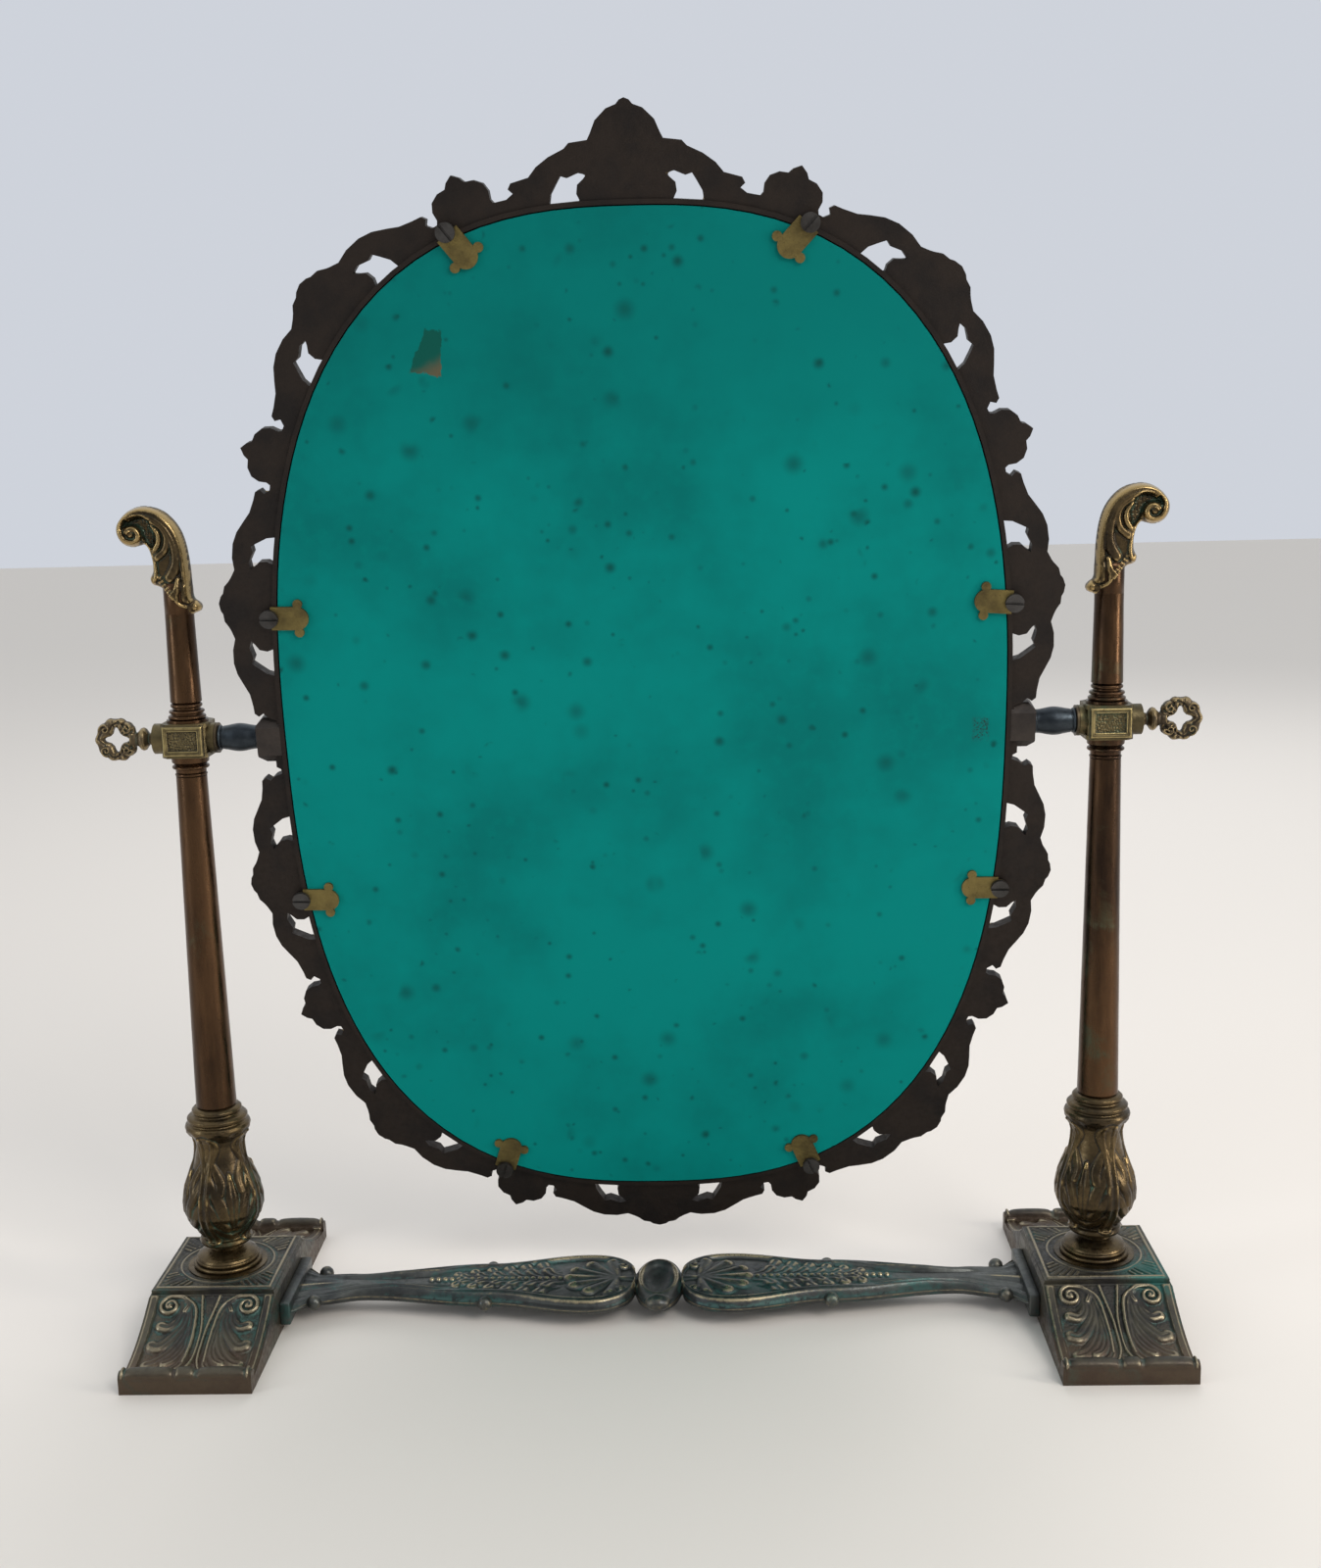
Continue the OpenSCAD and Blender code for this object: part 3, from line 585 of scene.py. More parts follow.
def mirror_plate_look():
    """Silvered glass seen from the front, and green paint with foxing on its back."""
    look = Look("mirror_plate")
    local = look.vector_math("SUBTRACT", look.place, (0, 0, PIVOT_Z * MM)).outputs[0]
    turn = look.node("ShaderNodeVectorRotate", rotation_type="X_AXIS")
    look.link(local, turn.inputs["Vector"])
    turn.inputs["Angle"].default_value = -REST_TILT
    flat = look.split(turn.outputs[0])
    across, up = flat["X"], flat["Z"]
    clouds = look.noise(9, 5, 0.6)
    fine = look.noise(160, 4, 0.6)
    green = look.blend(look.span(clouds, 0.4, 0.68), (0.000, 0.212, 0.192), (0.000, 0.150, 0.137))
    green = look.blend(look.mul(look.span(fine, 0.45, 0.75), 0.25), green, (0.0, 0.225, 0.195))
    # the green turns darker towards the top and bottom of the plate, with cloudy edges
    from_middle = look.math("ABSOLUTE", look.add(look.mul(up, 4.4), 0.26))
    top_and_bottom_darkening = look.add(from_middle, look.mul(clouds, 0.35))
    green = look.blend(look.span(top_and_bottom_darkening, 0.78, 1.25, 0.0, 0.42), green, (0.0, 0.085, 0.078))
    # foxing: scattered soft dark spots of four sizes
    for scale, reach, gate, depth in ((38, 0.24, 0.46, 0.6), (44, 0.16, 0.43, 0.85), (83, 0.2, 0.47, 0.8),
                                      (130, 0.2, 0.52, 0.7)):
        spot = look.span(look.cells(scale), reach, 0.0)
        where = look.span(look.noise(scale * 0.7, 2, 0.5), gate, gate + 0.05)
        green = look.blend(look.mul(look.mul(spot, where), depth), green, (0.002, 0.050, 0.046))
    # a ragged chip in the paint, wider at its foot, and a cluster of short scratches
    ragged = look.mul(look.sub(look.noise(190, 4, 0.7), 0.5), 0.9)
    lean = look.sub(look.add(across, look.mul(up, -0.30)), -0.1370)
    flare = look.span(up, 0.182, 0.162, 0.0036, 0.0070)
    du = look.math("DIVIDE", look.math("ABSOLUTE", lean), flare)
    dv = look.off_centre(up, 0.1715, 0.0090)
    chip = look.span(look.add(look.math("MAXIMUM", du, dv), ragged), 1.04, 0.97)
    low = look.sub(look.mul(across, 0.5), up)
    bare = look.span(look.add(low, look.mul(ragged, 0.004)), -0.2125, -0.2040)
    shows = look.blend(bare, (0.004, 0.080, 0.062), (0.10, 0.088, 0.054))
    green = look.blend(chip, green, shows)
    patch = look.math("MAXIMUM", look.off_centre(across, 0.152, 0.004), look.off_centre(up, -0.0005, 0.006))
    scratched = look.span(patch, 1.1, 0.6)
    lines = look.span(look.noise(900, 3, 0.5, distortion=1.5), 0.53, 0.57)
    green = look.blend(look.mul(scratched, lines), green, (0.02, 0.03, 0.03))
    look.finish(green, look.span(fine, 0.3, 0.7, 0.5, 0.62), 0.0, look.bump(fine, 0.08, 0.0003))
    look.bsdf.inputs["Specular IOR Level"].default_value = 0.06
    silver = look.node("ShaderNodeBsdfPrincipled")
    age = look.noise(14, 5, 0.6)
    tarnished = look.blend(look.span(age, 0.62, 0.8), (0.86, 0.87, 0.87), (0.62, 0.61, 0.58))
    look.link(tarnished, silver.inputs["Base Color"])
    silver.inputs["Metallic"].default_value = 1.0
    look.feed(silver.inputs["Roughness"], look.span(age, 0.55, 0.8, 0.02, 0.1))
    normal = look.node("ShaderNodeTexCoord").outputs["Normal"]
    dot = look.vector_math("DOT_PRODUCT", normal, (0, math.cos(REST_TILT), math.sin(REST_TILT)))
    front = look.node("ShaderNodeMixShader")
    look.feed(front.inputs[0], look.span(dot.outputs["Value"], 0.3, 0.6))
    look.link(look.bsdf.outputs[0], front.inputs[1])
    look.link(silver.outputs[0], front.inputs[2])
    look.link(front.outputs[0], look.out.inputs[0])
    return look.material


MATERIALS["mirror_plate"] = mirror_plate_look()


# ---------------------------------------------------------------- CAD nodes that stay
def soften(obj, width, segments=2):
    """Worn edges on a carried-over CAD node."""
    bevel = obj.modifiers.new("worn_edges", "BEVEL")
    bevel.width = width * MM
    bevel.segments = segments
    bevel.limit_method = "ANGLE"
    bevel.angle_limit = math.radians(35)
    bevel.harden_normals = False


LOOK_NODES = {  # what each look covers; a name without left_ or right_ stands for both sides
    "frame_casting": ["mirror_frame"],
    "mirror_plate": ["mirror_glass"],
    "clip_brass": ["glass_clips"],
    "stretcher_casting": ["stretcher"],
    "lug_casting": ["pivot_lug"],
    "gunmetal": ["pivot_barrel"],
    "knob_bronze": ["friction_washer", "clamp_knob"],
    "block_bronze": ["pivot_block"],
    "column_bronze": ["upper_collar", "upper_tube", "lower_collar", "column"],
    "cast_bronze": ["finial", "baluster", "base_disc"],
    "foot_casting": ["foot"],
    "dark_steel": ["clip_screws", "stretcher_screws", "clamp_screw", "upper_tie_rod", "lower_tie_rod",
                   "foot_washer", "foot_nut"],
}
NODE_LOOK = {node: look for look, nodes in LOOK_NODES.items() for node in nodes}
for node_name, node_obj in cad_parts.items():
    plain_name = node_name.removeprefix("left_").removeprefix("right_")
    node_obj.data.materials.clear()
    node_obj.data.materials.append(MATERIALS[NODE_LOOK[plain_name]])


# ---------------------------------------------------------------- feet
def foot_slope_path():
    """Side view of a foot from the plate's edge over the hollow slope and the rolled toe: [y, z] points."""
    roll_r, toe_h = 3.0, 10.2
    toe_y = FOOT_HALF_L - roll_r
    slope_foot = toe_h - 2 * roll_r + 1.6
    ys = np.linspace(PLATE_HALF + 0.3, toe_y - roll_r + 0.35, 60)
    t = unit((ys - PLATE_HALF) / (toe_y - roll_r - PLATE_HALF))
    zs = slope_foot + (PLATE_Z - 2 - slope_foot) * (1 - t) ** 1.7
    a = np.radians(np.linspace(205, 0, 30))
    arc = np.stack([toe_y + roll_r * np.cos(a), toe_h - roll_r + roll_r * np.sin(a)], 1)
    front = np.stack([np.full(8, FOOT_HALF_L), np.linspace(toe_h - roll_r, 0.9, 8)], 1)[1:]
    return np.concatenate([np.stack([ys, zs], 1), arc, front])


def resampled(path, step):
    """Points about step apart along a path, and how far along it each one lies."""
    length = np.concatenate([[0], np.cumsum(np.hypot(*np.diff(path, axis=0).T))])
    at = np.linspace(0, length[-1], int(length[-1] / step) + 1)
    return np.stack([np.interp(at, length, path[:, i]) for i in (0, 1)], 1), at


PLATE_HALF = 29.0
SLOPE_LENGTH = 50.6
FOOT_GRID = 0.42
LOWERED_EDGE = 0.35  # how far the rim of a relief dips into the casting under it
SLOPE_LOBES = [  # acanthus lobes on half a slope: [across, down the slope] from root to tip, and half-width
    ([(12.4, 9.5), (13.4, 15), (16.4, 18.4), (20.2, 17.8)], 3.0),
    ([(9.4, 8.5), (9.8, 17), (14, 25.2), (18.2, 29.8), (21.6, 29.2)], 3.6),
    ([(7.6, 14), (8.4, 24), (11.8, 33), (16.6, 39.4), (20.6, 42)], 3.6),
    ([(6, 22), (7, 32), (9.6, 38.4), (13, 41.2)], 2.9),
    ([(4.6, 30), (5.2, 39), (7.6, 44.6), (10.6, 47)], 2.6),
]


def slope_leaf(side, v):
    """Half an acanthus leaf with its stems and scroll, over side, the distance from a slope's middle line."""
    share = lobe(0.45, 0.8)
    layers = [ridge(side, v, smooth_path(path), lambda t, w=half: w * share(t), lambda t: 1.1 + 1.3 * t, 0.25)
              for path, half in SLOPE_LOBES]
    body = smooth_path([(13, 5), (11, 14), (10.5, 24), (10.5, 34), (9.5, 42)])
    layers.append(ridge(side, v, body, lambda t: 3.2 + 3.2 * np.sin(np.pi * t), 1.0))
    for offset, height in ((0.0, 1.9), (1.9, 1.5)):
        stem = [(11.5, 2.4 + offset), (6.2 + offset, 7.5), (4.5 + 0.9 * offset, 18), (4.2 + 0.8 * offset, 30),
                (5 + 0.5 * offset, 40)]
        layers.append(ridge(side, v, smooth_path(stem), 1.0, height))
    over = [(11, 9.5), (9.6, 5.4), (13, 1.9), (18.2, 1.2)]
    eye = (18.2, 6.8)
    layers.append(ridge(side, v, smooth_path(over), 1.5, 1.9, groove=0.2))
    scroll = spiral(eye, 5.5, 0.9, 1.6, -90)
    layers.append(ridge(side, v, scroll, lambda t: 1.35 - 0.3 * t, lambda t: 1.8 + 0.9 * t))
    layers.append(bump(side, v, eye, 1.5, 2.8))
    leaf = highest(np.zeros(v.shape), *layers)
    leaf -= ridge(side, v, [(0.0, -2.0), (0.0, 22.0)], lambda t: 3.9 * (1 - 0.85 * t), 0.7)
    rib = smooth_path([(4.5, -1), (3.2, 7), (1.4, 17), (0.9, 26), (1.3, 38), (4.6, 47)])
    return np.maximum(leaf, ridge(side, v, rib, 0.8, 1.5))


def slope_relief(x, v):
    """Relief of a foot's slope and toe over x across and v down the slope."""
    side = np.abs(x)
    on_slope = v < SLOPE_LENGTH
    leaf = slope_leaf(side, v)
    ground = pebbles(x, v, 0.95, 0.26, seed=5)
    h = np.where(leaf > 0.3, leaf, ground + np.minimum(leaf, 0.3)) * on_slope
    border = np.clip(2.5 - np.abs(side - 27.0) * 0.9, 0, 1.2) * on_slope
    h = highest(h, border, 0.8 * band(v - SLOPE_LENGTH + 1.6, 0.8))
    # the rolled toe: two long humps, a bead between them and small tips at the ends
    crown = band(v - SLOPE_LENGTH - 4.9, 3.1, 4)
    hump = dome((side - 16.4) / 10.6, 4) * (1 - 0.012 * np.abs(side - 16.4))
    swell = highest(hump, dome(side / 4.2, 4), unit((side - 27.2) / 0.8))
    return np.maximum(h, crown * (0.15 + 1.3 * swell)) + 0.12


def foot_slope(side_name, end):
    """Relief of one slope and toe, end +1 towards the front of the mirror and -1 towards its back."""
    path, at = resampled(foot_slope_path(), FOOT_GRID)
    tangent = np.gradient(path, axis=0)
    tangent /= np.hypot(*tangent.T)[:, None]
    normal = np.stack([-tangent[:, 1], tangent[:, 0]], 1)
    normal *= np.sign(normal[0, 1])
    half = FOOT_HALF_W - 0.5
    v, x = np.meshgrid(at, np.arange(-half, half + 0.2, FOOT_GRID), indexing="ij")
    rim = unit(np.minimum(half - np.abs(x), np.minimum(v, at[-1] - v)) / 0.9)
    relief = slope_relief(x, v) * rim - LOWERED_EDGE * (1 - rim)

    def swept(across, section):
        return np.stack([across, end * np.broadcast_to(section[:, :1], x.shape),
                         np.broadcast_to(section[:, 1:], x.shape)], -1)
    base = swept(SIDES[side_name] * POST_X + x, path)
    out = swept(np.zeros(x.shape), normal)
    obj = skin(f"{side_name}_foot_relief_{end_name(end)}", base, out, relief, 0.7, flip=end < 0)
    add_piece(obj, "stand", "foot_casting")


CORNER_LEAF = [  # half of the leaf in a plate's corner: points [longer way, shorter way] and half-width
    ([(17.4, 17.4), (21, 21), (24.3, 24.3)], 1.5),
    ([(18.6, 15.8), (22, 18.4), (24.6, 20.6)], 1.1),
    ([(20.3, 14), (22.8, 15.6), (24.8, 17)], 1.0),
    ([(21.8, 12), (23.4, 12.9), (24.8, 13.8)], 0.9),
]


def foot_plate(side_name):
    """Bordered top plate with a ring round the disc and a leaf in each corner."""
    half = PLATE_HALF - 0.6
    x, y = mesh_grid(-half, half, -half, half, FOOT_GRID)
    ax, ay = np.abs(x), np.abs(y)
    r = np.hypot(x, y)
    edge, small = np.maximum(ax, ay), np.minimum(ax, ay)
    h = highest(pebbles(x, y, 0.9, 0.22, seed=8), 0.8 * band(edge - 26.6, 0.9, 4),
                0.75 * band(r - 22.1, 0.8, 4), 0.45 * band(r - 24.2, 0.45, 4))
    for path, half_w in CORNER_LEAF:
        h = np.maximum(h, ridge(edge, small, smooth_path(path), half_w, 0.95, groove=0.35))
    rim = unit((half - edge) / 0.7)
    h = (h + 0.12) * rim - LOWERED_EDGE * (1 - rim)
    base = np.stack([SIDES[side_name] * POST_X + x, y, np.full(x.shape, PLATE_Z)], -1)
    up = np.broadcast_to([0.0, 0, 1], base.shape)
    add_piece(skin(f"{side_name}_foot_plate", base, up, h, 0.7), "stand", "foot_casting")


# ---------------------------------------------------------------- stretcher
BAR_HALF = cad("stretcher")[1][0]
BAR_TOP, BAR_UNDER = 13.5, 7.5
HUB_HALF = 11.5
BAR_STATIONS = [  # place along the bar and half-width there
    (0, 6), (5.4, 6), (HUB_HALF, 7), (35, 26), (83, 17), (142, 9), (166, 14), (178, 23), (181, 23)]


def bar_half_width(x):
    """Half-width of the stretcher at distance x from its middle."""
    x = np.abs(x)
    out = np.full(x.shape, 6.0)
    for (x0, w0), (x1, w1) in zip(BAR_STATIONS[:-1], BAR_STATIONS[1:]):
        t = (x - x0) / (x1 - x0)
        here = (t >= 0) & (t <= 1)
        eased = w0 + (w1 - w0) * (1 - np.cos(np.pi * unit(t))) / 2
        if x0 == HUB_HALF:
            eased = 6 + 20 * dome(1 - unit(t), 2.3)
        out = np.where(here, eased, out)
    hub = 25 * dome(x / HUB_HALF)
    return np.maximum(out, hub)


def bar_relief(x, y, w):
    """Ornament on the top of the stretcher; w is its half-width at each point."""
    ax, ay = np.abs(x), np.abs(y)
    inset = w - ay
    h = np.zeros(x.shape)
    panel = unit((ax - 12) / 2) * unit((98 - ax) / 20)
    ground = 0.35 * pebbles(x, y, 1.0, 1.0, seed=9) * (inset > 6)
    h -= panel * (2.0 * unit((inset - 5.4) / 1.4) - ground)
    edge = unit((160 - ax) / 30) * (ax > 11.2)
    h += edge * (2.2 * band(inset - 3.0, 2.6, 4) + 1.1 * band(inset - 8.4, 0.9) * panel)
    # shell with swelling ribs that end in beads
    root, reach, wide = 20.0, 23.0, 16.0
    for a in np.radians(np.arange(0, 100, 27.7)):
        tip = (root + reach * math.cos(a), wide * math.sin(a))
        rib = ridge(ax, ay, [(root, 0.0), tip], lambda t: 1.8 + 2.6 * t, lambda t: 2.2 + 1.2 * t)
        h = highest(h, rib - 1.3, bump(ax, ay, tip, 2.4, 3.8) - 1.3)
    stalk = ridge(ax, ay, [(12.0, 0.0), (23.0, 0.0)], lambda t: 2.6 - 1.2 * t, 1.0)
    # scrolls beside the hub, and the balls in them
    eye = (18, 12.4)
    h = highest(h, stalk, ridge(ax, ay, spiral(eye, 5.2, 1.0, 1.4, -60), 1.1, 2.0) - 0.5,
                bump(ax, ay, eye, 2.0, 2.2) - 0.4)
    # overlapping leaves, then the bead chain, towards the neck
    for start in np.arange(49, 92, 8.2):
        room = 1 - (start - 49) / 66
        for foot, tip, half in (((start - 4, 2.2), (start + 5.5, 7.6 * room), 4.2),
                                ((start, 8.0 * room), (start + 8.5, 14.4 * room), 3.9)):
            bend = ((foot[0] + tip[0]) / 2 + 1.8, (foot[1] + tip[1]) / 2 - 1.0)
            leaf = ridge(ax, ay, smooth_path([foot, bend, tip]),
                         lambda t, k=half: k * (0.55 + 0.45 * t) * (0.6 + 0.4 * room),
                         lambda t: 0.7 + 1.3 * t, groove=0.35)
            h = np.maximum(h, leaf - 0.3)
    for cx in np.arange(48, 112, 3.3):
        h = np.maximum(h, bump(ax, y, (cx, 0), 1.45, 1.7))
    # fluted neck and flange
    neck = unit((ax - 92) / 16)
    across = ay / w
    h -= neck * (band(across - 0.4, 0.1) + band(across - 0.74, 0.07))
    h += unit((ax - 152) / 12) * 0.6 * np.cos(across * 17)
    # hub with its hollow
    q = np.hypot(x / 7.4, (y + 1.0) / 14.5)
    hub = unit((11.4 - ax) / 0.8)
    dish = np.where(q < 1, -3.0 * (1 - q ** 2.2), 0) + 2.0 * band(q - 1.2, 0.2)
    dish -= 0.8 * band(q - 1.5, 0.08)
    return h * (1 - hub) + dish * hub


def stretcher_body():
    """The bar itself: its ornamented top, rounded edges and flat underside, as one tube of cross-sections."""
    xs = np.unique(np.concatenate([np.arange(-BAR_HALF, BAR_HALF + 0.1, 0.55), [-HUB_HALF, HUB_HALF]]))
    g = np.linspace(1, -1, 91)
    g = np.sign(g) * np.abs(g) ** 0.85
    w = bar_half_width(xs)
    x_top = np.broadcast_to(xs[:, None], (len(xs), len(g)))
    w_top = np.broadcast_to(w[:, None], x_top.shape)
    y_top = g[None, :] * w_top
    relief = bar_relief(x_top, y_top, w_top)
    fade = unit((1 - np.abs(g)) / 0.05)[None, :]
    thin = unit((np.abs(x_top) - 150) / 28) * 2.0
    z_top = BAR_TOP - thin - 2.2 * np.abs(g[None, :]) ** 8 + relief * fade
    rows = [np.stack([x_top, y_top, z_top], -1)]
    wear_and_painted_light = [wear_and_painted_light_of(relief, 10)]
    left_edge = [(-1.012, 10.2), (-1.0, 8.8), (-0.95, 7.9), (-0.86, BAR_UNDER), (-0.4, BAR_UNDER)]
    right_edge = [(-share, z) for share, z in reversed(left_edge)]
    for share, z in left_edge + right_edge:
        rows.append(np.stack([xs, share * w, np.full(xs.shape, z)], -1)[:, None, :])
        # the rounded top edge gets a high value, worn brightening with a painted highlight; the sides and
        # underside a low one, a little painted shade
        wear_and_painted_light.append(np.full((len(xs), 1), 0.6 if z > 10 else -0.1))
    obj = loft("stretcher_casting_body", np.concatenate(rows, 1)[:, ::-1], np.concatenate(wear_and_painted_light, 1)[:, ::-1])
    add_piece(obj, "stand", "stretcher_casting", "stretcher")


def stretcher_knobs():
    """Balls on the bar's edges, the boss beside its hub, and the flanges at its ends."""
    mesh = bmesh.new()
    balls = [(6.0, (0, -22.2, 12.2), (1.0, 0.8, 0.62))]
    for x, y in ((82.8, 18.2), (165.6, 15.2)):
        balls += [(3.5, (sx * x, sy * y, 10.6), (1.0, 1.0, 1.0)) for sx in (-1, 1) for sy in (-1, 1)]
    for radius, centre, shape in balls:
        ball = bmesh.ops.create_icosphere(mesh, subdivisions=4, radius=radius)["verts"]
        bmesh.ops.scale(mesh, verts=ball, vec=shape)
        bmesh.ops.translate(mesh, verts=ball, vec=centre)
    rubbed_and_highlit = len(mesh.verts)
    for sx in (-1, 1):
        flange = bmesh.ops.create_cube(mesh, size=1)["verts"]
        bmesh.ops.scale(mesh, verts=flange, vec=(5, 50, 11))
        bmesh.ops.translate(mesh, verts=flange, vec=(sx * (BAR_HALF - 2.5), 0, 9.5))
    mesh.verts.index_update()
    verts = [tuple(vert.co) for vert in mesh.verts]
    faces = [[vert.index for vert in face.verts] for face in mesh.faces]
    mesh.free()
    # the balls and the boss get a high value: worn brightening with a painted highlight
    wear_and_painted_light = [0.4 if i < rubbed_and_highlit else 0.0 for i in range(len(verts))]
    knobs = mesh_object("stretcher_knobs", verts, faces, wear_and_painted_light)
    soften(knobs, 0.7, 3)
    add_piece(knobs, "stand", "stretcher_casting")


# ---------------------------------------------------------------- posts
BALUSTER_Z = cad("right_baluster")[0][2]
BALUSTER_H = cad("right_baluster")[1][2] - BALUSTER_Z
BALUSTER = [  # turned outline: height above the base disc and radius
    (0, 7.2), (1.5, 7.2), (1.6, 10.6), (2.2, 12.0), (3.4, 12.4), (4.6, 12.0), (5.2, 10.6), (5.6, 10.4),
    (9.5, 13.2), (14.5, 16.4), (19, 18.0), (24, 18.3), (30, 17.6), (37, 15.2), (44, 12.8), (50, 11.6),
    (52.5, 11.4), (55.5, 12.2), (58, 13.8), (60, 15.0), (61.4, 15.4), (62.6, 15.0),
    (63.2, 13.6), (63.8, 13.2), (64.6, 14.1), (65.8, 14.2), (66.8, 13.2), (67.3, 11.4),
    (67.9, 10.9), (68.7, 11.7), (69.7, 11.7), (70.5, 10.9), (71, 10.2),
]


LEAF_LOBES = [  # half of a climbing leaf: [across, up] from root to tip, half-width and height
    ([(2, 15), (5.5, 10.5), (8.6, 8)], 2.4, 1.4),
    ([(1.8, 27), (5.4, 20), (9, 14)], 3.1, 1.8),
    ([(1.8, 38), (5, 32), (8.8, 25), (9.6, 20)], 3.1, 1.9),
    ([(2, 46), (4.4, 42), (7.4, 36.5), (7.6, 32)], 2.5, 1.7),
]


def leaf_relief(across, z):
    """Acanthus leaf that climbs the baluster."""
    side = np.abs(across)
    share = lobe(0.5, 0.8)
    lobes = [ridge(side, z, smooth_path(path), lambda t, w=half: w * share(t),
                   lambda t, k=height: k * (0.6 + 0.4 * t), groove=0.12)
             for path, half, height in LEAF_LOBES]
    lip = ridge(side, z, smooth_path([(0, 42), (2.6, 48), (4.4, 53.5), (2.4, 57)]), 1.9, 1.5)
    blade = ridge(side, z, [(0.0, 6.0), (0.0, 56.0)], lambda t: 2.6 + 2.2 * unit(t - 0.6), 1.2)
    rail = ridge(side, z, [(1.9, 6.0), (1.6, 40.0), (2.6, 55.0)], lambda t: 1.7 - 0.5 * t, 1.7)
    return highest(lip, blade, rail, *lobes)


def lobe_relief(across, z):
    """Plain almond-shaped lobe between two leaves."""
    middle_line = [(0.0, 13.0), (0.0, 40.0)]
    almond = ridge(across, z, middle_line, lambda t: 3.4 * np.sin(np.pi * (0.12 + 0.8 * t)), 1.5)
    vein = 0.5 * band(across, 0.6) * (z > 14) * (z < 38)
    return np.maximum(almond - vein, 0)


def baluster(side_name):
    """Turned baluster with four leaves and four lobes cast round its belly."""
    ks, rs = np.array(BALUSTER, float).T
    zs = np.unique(np.concatenate([np.arange(0, 71.01, 0.5), ks]))
    th = np.linspace(0, 2 * np.pi, 241)[:-1]
    r0 = np.interp(zs, ks, rs)
    z, a = np.meshgrid(zs, th, indexing="ij")
    r = np.broadcast_to(r0[:, None], z.shape)
    relief = np.zeros(z.shape)
    turned = math.radians(15 if side_name == "right" else -15)
    for k in range(8):
        off = (a - turned + math.pi / 2 - k * math.pi / 4 + np.pi) % (2 * np.pi) - np.pi
        motif = lobe_relief if k % 2 else leaf_relief
        relief = np.maximum(relief, motif(off * r, z))
    relief += 0.35 * band(z - 60, 3.5) * np.cos(12 * a) * (z < 60.2)
    radius = r - 0.55 * ((z > 6) & (z < 58)) + relief * 0.9
    wear_and_painted_light = wear_and_painted_light_of(relief, 10)
    cx = SIDES[side_name] * POST_X
    to_height = BALUSTER_H / BALUSTER[-1][0]
    rings = np.stack([cx + radius * np.cos(a), radius * np.sin(a), BALUSTER_Z + z * to_height], -1)
    obj = loft(f"{side_name}_baluster_leaves", rings[:, ::-1], wear_and_painted_light[:, ::-1])
    add_piece(obj, "stand", "cast_bronze", f"{side_name}_baluster")


NOTHING = -9.0  # a depth well below the middle plane of a flat casting: no metal there
SLEEVE_R = 6.8
SLANT_LOW, SLANT_RISE = 1.2, 12.4
FINIAL_Z = cad("right_upper_tube")[1][2]
FINIAL_OUTLINE = [
    (-4.9, -0.6), (-7.6, 0.2), (-9.8, 2.4), (-9.6, 5.2), (-7.3, 7.3), (-6.8, 12.7), (-6.5, 21.4),
    (-5.3, 31.4), (-2.8, 38.8), (1.5, 44.4), (6.5, 47.5), (12.7, 48.6), (17.7, 47.5), (22, 44.7),
    (25.1, 40.7), (25.7, 37), (24.5, 33.6), (22, 31.2), (18.6, 30.3), (15.2, 31), (13.2, 31.4),
    (11.6, 29.6), (10.6, 26.6), (10.1, 22.7), (10.4, 19), (11.7, 16.2), (10.9, 13.4), (8.6, 12.5),
    (6.6, 11.4), (2.5, 6.6), (-1.5, 2.2),
]
FINIAL_RIDGES = [  # points along the scroll, half-width at its start and end, height
    ([(-5.4, 7), (-5.6, 18), (-4.5, 27.5), (-2.2, 35.3), (1.9, 41.4), (7.6, 45.4), (14.2, 46.8), (20, 45),
      (23, 41.4), (23.3, 37.4), (21.4, 33.4), (17.4, 32.2), (14.9, 34.2), (15.1, 37.4), (17.7, 38.8),
      (19.9, 37.2)], 2.5, 1.3, 1.7),
    ([(1.6, 16.8), (-1.2, 22.6), (-1.2, 29.2), (0.6, 35.3), (3.9, 40.2), (9.1, 43.4), (15.1, 44.2),
      (19.4, 42.6)], 2.3, 1.1, 1.8),
    ([(7.2, 25.6), (3.2, 28.8), (1.9, 34.2), (4.0, 38.8), (8.2, 41.6)], 1.9, 1.1, 1.7),
    ([(8.4, 28.2), (5.8, 32.0), (5.9, 36.6), (8.8, 39.6)], 1.5, 1.0, 1.5),
    ([(12.4, 31.6), (9.8, 27.5), (8.4, 22.3), (8.2, 17.4), (9.6, 14.8), (10.4, 16.6)], 1.1, 1.3, 1.5),
    ([(-2.2, 24.4), (-0.9, 19.6), (1.8, 16.6)], 1.6, 2.3, 1.8),
    ([(-2.0, 15.6), (-1.4, 11), (0.4, 8.2)], 1.4, 1.9, 1.7),
    ([(-4.4, 3.4), (-1.6, 5.2), (-1.2, 8.2)], 1.1, 0.9, 1.4),
]
FINIAL_HOLLOW = [(7.6, 38.4), (7.4, 33), (8.6, 29.4), (12.4, 32.6), (13.8, 36.6), (15.9, 39.3), (19.6, 39.3),
                 (22.6, 38.4), (21.4, 42.4), (16.8, 44.6), (11.6, 44.2)]


def post_casting(name, side_name, u, v, step, thickness, x0, z0):
    """Flat casting beside a post, its own zero at x0, z0; the left one mirrors the right one."""
    sx = SIDES[side_name]

    def place(p):
        return np.stack([sx * (x0 + p[:, 0]), p[:, 1], z0 + p[:, 2]], 1)
    obj = plate(name, u, v, step, thickness, place, 0.4)
    if sx < 0:
        obj.data.flip_normals()
    return obj


